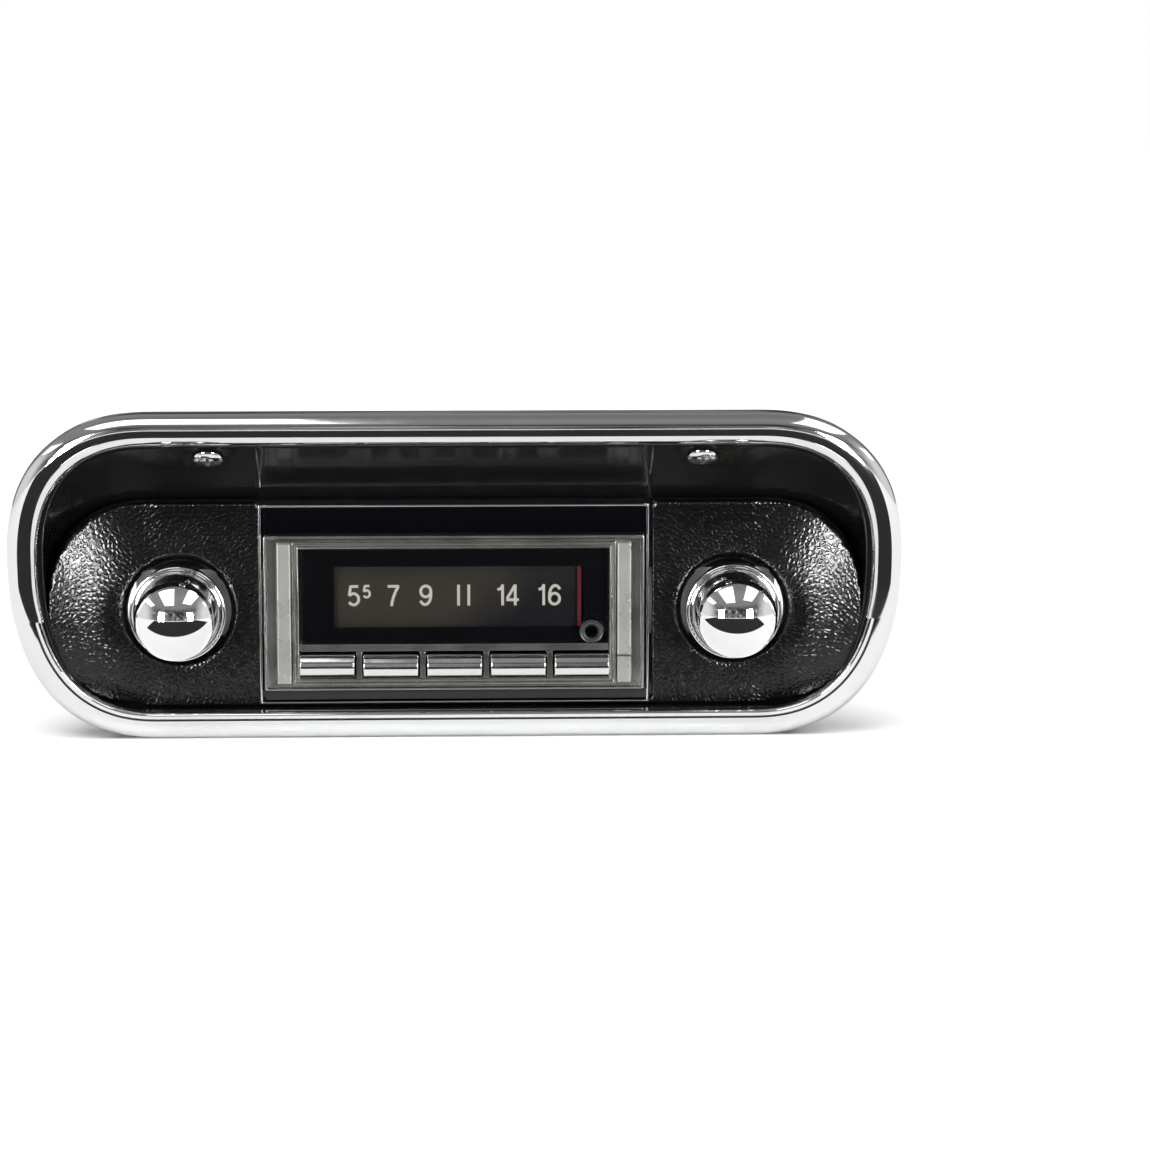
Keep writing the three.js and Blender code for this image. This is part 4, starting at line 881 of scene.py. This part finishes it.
def build_cover_screws():
    """Six round-head screws down the top cover's edges."""
    low, high = span("top_cover")
    verts, faces = turned_mesh(SCREW_HEAD, 0, 0, 24)
    parts = []
    for x in (low.x + 5, high.x - 5):
        for y in (low.y + 8, (low.y + high.y) / 2, high.y - 6):
            parts.append(([(x + a, y + c, high.z - b - 0.05) for a, b, c in verts], faces))
    piece("cover_screws", *several(parts), "steel")


def build_chassis():
    for node, slot, width in REFINED:
        refined(f"{node}_finish", node, slot, width)
    build_sockets()
    build_transistor()
    build_cover_screws()


def finish_nodes():
    """Every CAD node that still shows takes the look of its own slot."""
    for entry in frame["record"]["subparts"]:
        obj = NODES[entry["node"]]
        obj.data.materials.clear()
        obj.data.materials.append(LOOKS[entry["material_slot"]])
        shade(obj, 30)


# ---- Camera, floor and light ----

LENS, SENSOR = 109.2, 36
CAMERA_PLACE = (0, -980, 155.8)
CAMERA_DOWN, CAMERA_TURN = 8.48, -1.97  # degrees


def build_camera():
    camera = bpy.data.cameras.new("camera")
    camera.lens, camera.sensor_width = LENS, SENSOR
    obj = bpy.data.objects.new("camera", camera)
    bpy.context.scene.collection.objects.link(obj)
    obj.location = at(*CAMERA_PLACE)
    obj.rotation_euler = (math.radians(90 - CAMERA_DOWN), 0, math.radians(CAMERA_TURN))
    bpy.context.scene.camera = obj


def sheet(name, corners, z, look):
    """A flat sheet of the stage, its corners in metres."""
    mesh = bpy.data.meshes.new(name)
    mesh.from_pydata([(x, y, z) for x, y in corners], [], [(0, 1, 2, 3)])
    obj = bpy.data.objects.new(name, mesh)
    mesh.materials.append(look)
    bpy.context.scene.collection.objects.link(obj)
    return obj


FLOOR = [(-6, -6), (6, -6), (6, 6), (-6, 6)]
DARK_CARD = [(-0.19, -0.112), (-1.3, -1.2), (1.3, -1.2), (0.19, -0.112)]
PALE_Z, DARK_Z = 0.0008, 0.0015


def build_floor():
    """A white floor, and two cards that only reflections show: one paler than the floor all over it,
    so that white chrome parts from a white background, and a dark one before the object."""
    sheet("floor", FLOOR, 0, material("floor_white", (0.86, 0.86, 0.86), 0, 0.9, tint=(0.001, 0.01)))
    pale = sheet("pale_card", FLOOR, PALE_Z, material("card_pale", (0.68, 0.68, 0.68), 0, 0.9))
    black = material("card_black", (0.02, 0.02, 0.022), 0, 0.9, Specular_IOR_Level=0.0)
    for card in (pale, sheet("card", DARK_CARD, DARK_Z, black)):
        card.visible_camera = card.visible_diffuse = False
        card.visible_shadow = card.visible_transmission = False


# The room's brightness by height, from straight down (0) to straight up (1).
ROOM_AHEAD = [(0.0, 0.8), (0.15, 0.5), (0.20, 0.04), (0.68, 0.05), (0.73, 0.24), (0.9, 0.27), (1.0, 0.2)]
ROOM_SIDE = [(0.0, 0.8), (0.45, 0.8), (0.7, 0.8), (0.85, 0.5), (1.0, 0.25)]
THINGS_BAND = [(0.3, 0.0), (0.38, 1.0), (0.64, 1.0), (0.72, 0.0)]
THINGS = [(0.44, 0.0), (0.53, 0.2), (0.6, 0.06), (0.66, 0.6)]
SIDE_START = [(0.72, 0.0), (0.93, 1.0)]
ROOM_DIFFUSE = (0.55, 0.55, 0.55, 1)


def build_world():
    """A workshop: a grey ceiling, a dark band of things ahead at eye level, and pale sides."""
    world = bpy.data.worlds.new("studio")
    world.use_nodes = True
    bpy.context.scene.world = world
    tree = world.node_tree
    place = tree.nodes.new("ShaderNodeTexCoord").outputs["Generated"]
    split = tree.nodes.new("ShaderNodeSeparateXYZ")
    tree.links.new(place, split.inputs["Vector"])

    def ramp(value, stops):
        node = tree.nodes.new("ShaderNodeValToRGB")
        while len(node.color_ramp.elements) < len(stops):
            node.color_ramp.elements.new(0.5)
        for element, (position, level) in zip(node.color_ramp.elements, stops):
            element.position, element.color = position, (level, level, level, 1)
        tree.links.new(value, node.inputs["Fac"])
        return node.outputs["Color"]

    def blend(factor, a, b, kind="MIX"):
        node = tree.nodes.new("ShaderNodeMix")
        node.data_type = "RGBA"
        node.blend_type = kind
        for socket, value in (("Factor", factor), ("A", a), ("B", b)):
            if isinstance(value, (float, tuple)):
                node.inputs[socket].default_value = value
            else:
                tree.links.new(value, node.inputs[socket])
        return node.outputs["Result"]

    half = tree.nodes.new("ShaderNodeMapRange")
    half.inputs["From Min"].default_value = -1
    tree.links.new(split.outputs["Z"], half.inputs["Value"])
    height = half.outputs["Result"]
    ahead = ramp(height, ROOM_AHEAD)
    clutter = tree.nodes.new("ShaderNodeTexNoise")
    clutter.inputs["Scale"].default_value = 7
    clutter.inputs["Detail"].default_value = 5
    tree.links.new(place, clutter.inputs["Vector"])
    things = blend(1.0, ramp(height, THINGS_BAND), ramp(clutter.outputs["Fac"], THINGS), "MULTIPLY")
    ahead = blend(1.0, ahead, things, "ADD")
    sideways = tree.nodes.new("ShaderNodeMath")
    sideways.operation = "ABSOLUTE"
    tree.links.new(split.outputs["X"], sideways.inputs[0])
    room = blend(ramp(sideways.outputs["Value"], SIDE_START), ahead, ramp(height, ROOM_SIDE))
    path = tree.nodes.new("ShaderNodeLightPath")
    diffuse = blend(path.outputs["Is Diffuse Ray"], room, ROOM_DIFFUSE)
    seen = blend(path.outputs["Is Camera Ray"], diffuse, (1, 1, 1, 1))
    tree.links.new(seen, tree.nodes["Background"].inputs["Color"])


# Each ceiling light: its middle, width and depth, as shares of its height above the floor.
SKYLIGHTS = [(-1.65, -0.45, 0.5, 1.2), (-0.38, -0.85, 0.62, 1.15), (0.72, -0.3, 0.6, 1.7),
             (2.1, 0.1, 0.8, 1.0)]
SKYLIGHT_HEIGHT = 1.8
SKYLIGHT_POWER = 5.5  # watts for each square metre
RAKE = dict(place=(0.62, -1.0, 0.16), size=(0.26, 0.42), power=18)
SUN = dict(strength=2.5, spread=50, turn=(25, -12))


def area_light(name, size, power, place):
    light = bpy.data.lights.new(name, "AREA")
    light.shape = "RECTANGLE"
    light.size, light.size_y = size
    light.energy = power
    obj = bpy.data.objects.new(name, light)
    obj.location = place
    bpy.context.scene.collection.objects.link(obj)
    return obj


def build_lights():
    for i, (x, y, wide, deep) in enumerate(SKYLIGHTS):
        size = (wide * SKYLIGHT_HEIGHT, deep * SKYLIGHT_HEIGHT)
        place = (x * SKYLIGHT_HEIGHT, y * SKYLIGHT_HEIGHT, SKYLIGHT_HEIGHT)
        area_light(f"skylight_{i + 1}", size, SKYLIGHT_POWER * size[0] * size[1], place)
    for side in (-1, 1):  # two lamps that rake across the far end of the panel
        x, y, z = RAKE["place"]
        obj = area_light("rake", RAKE["size"], RAKE["power"], (side * x, y, z))
        obj.rotation_euler = (-obj.location).to_track_quat("-Z", "Y").to_euler()
        obj.visible_diffuse = False
    sun = bpy.data.lights.new("soft_key", "SUN")
    sun.energy, sun.angle = SUN["strength"], math.radians(SUN["spread"])
    obj = bpy.data.objects.new("soft_key", sun)
    obj.rotation_euler = (*map(math.radians, SUN["turn"]), 0)
    obj.visible_glossy = False
    bpy.context.scene.collection.objects.link(obj)


def build_stage():
    build_camera()
    build_floor()
    build_world()
    build_lights()
    scene = bpy.context.scene
    scene.view_settings.view_transform = "Standard"
    scene.view_settings.look = "None"


finish_nodes()
build_trims()
build_cup()
build_ceiling_reflection_strips()
build_ceiling_screws()
build_grain_panel()
build_centre()
build_nosepiece()
build_buttons()
dial_paint()
build_marks()
build_jack()
build_knobs()
build_chassis()
build_stage()
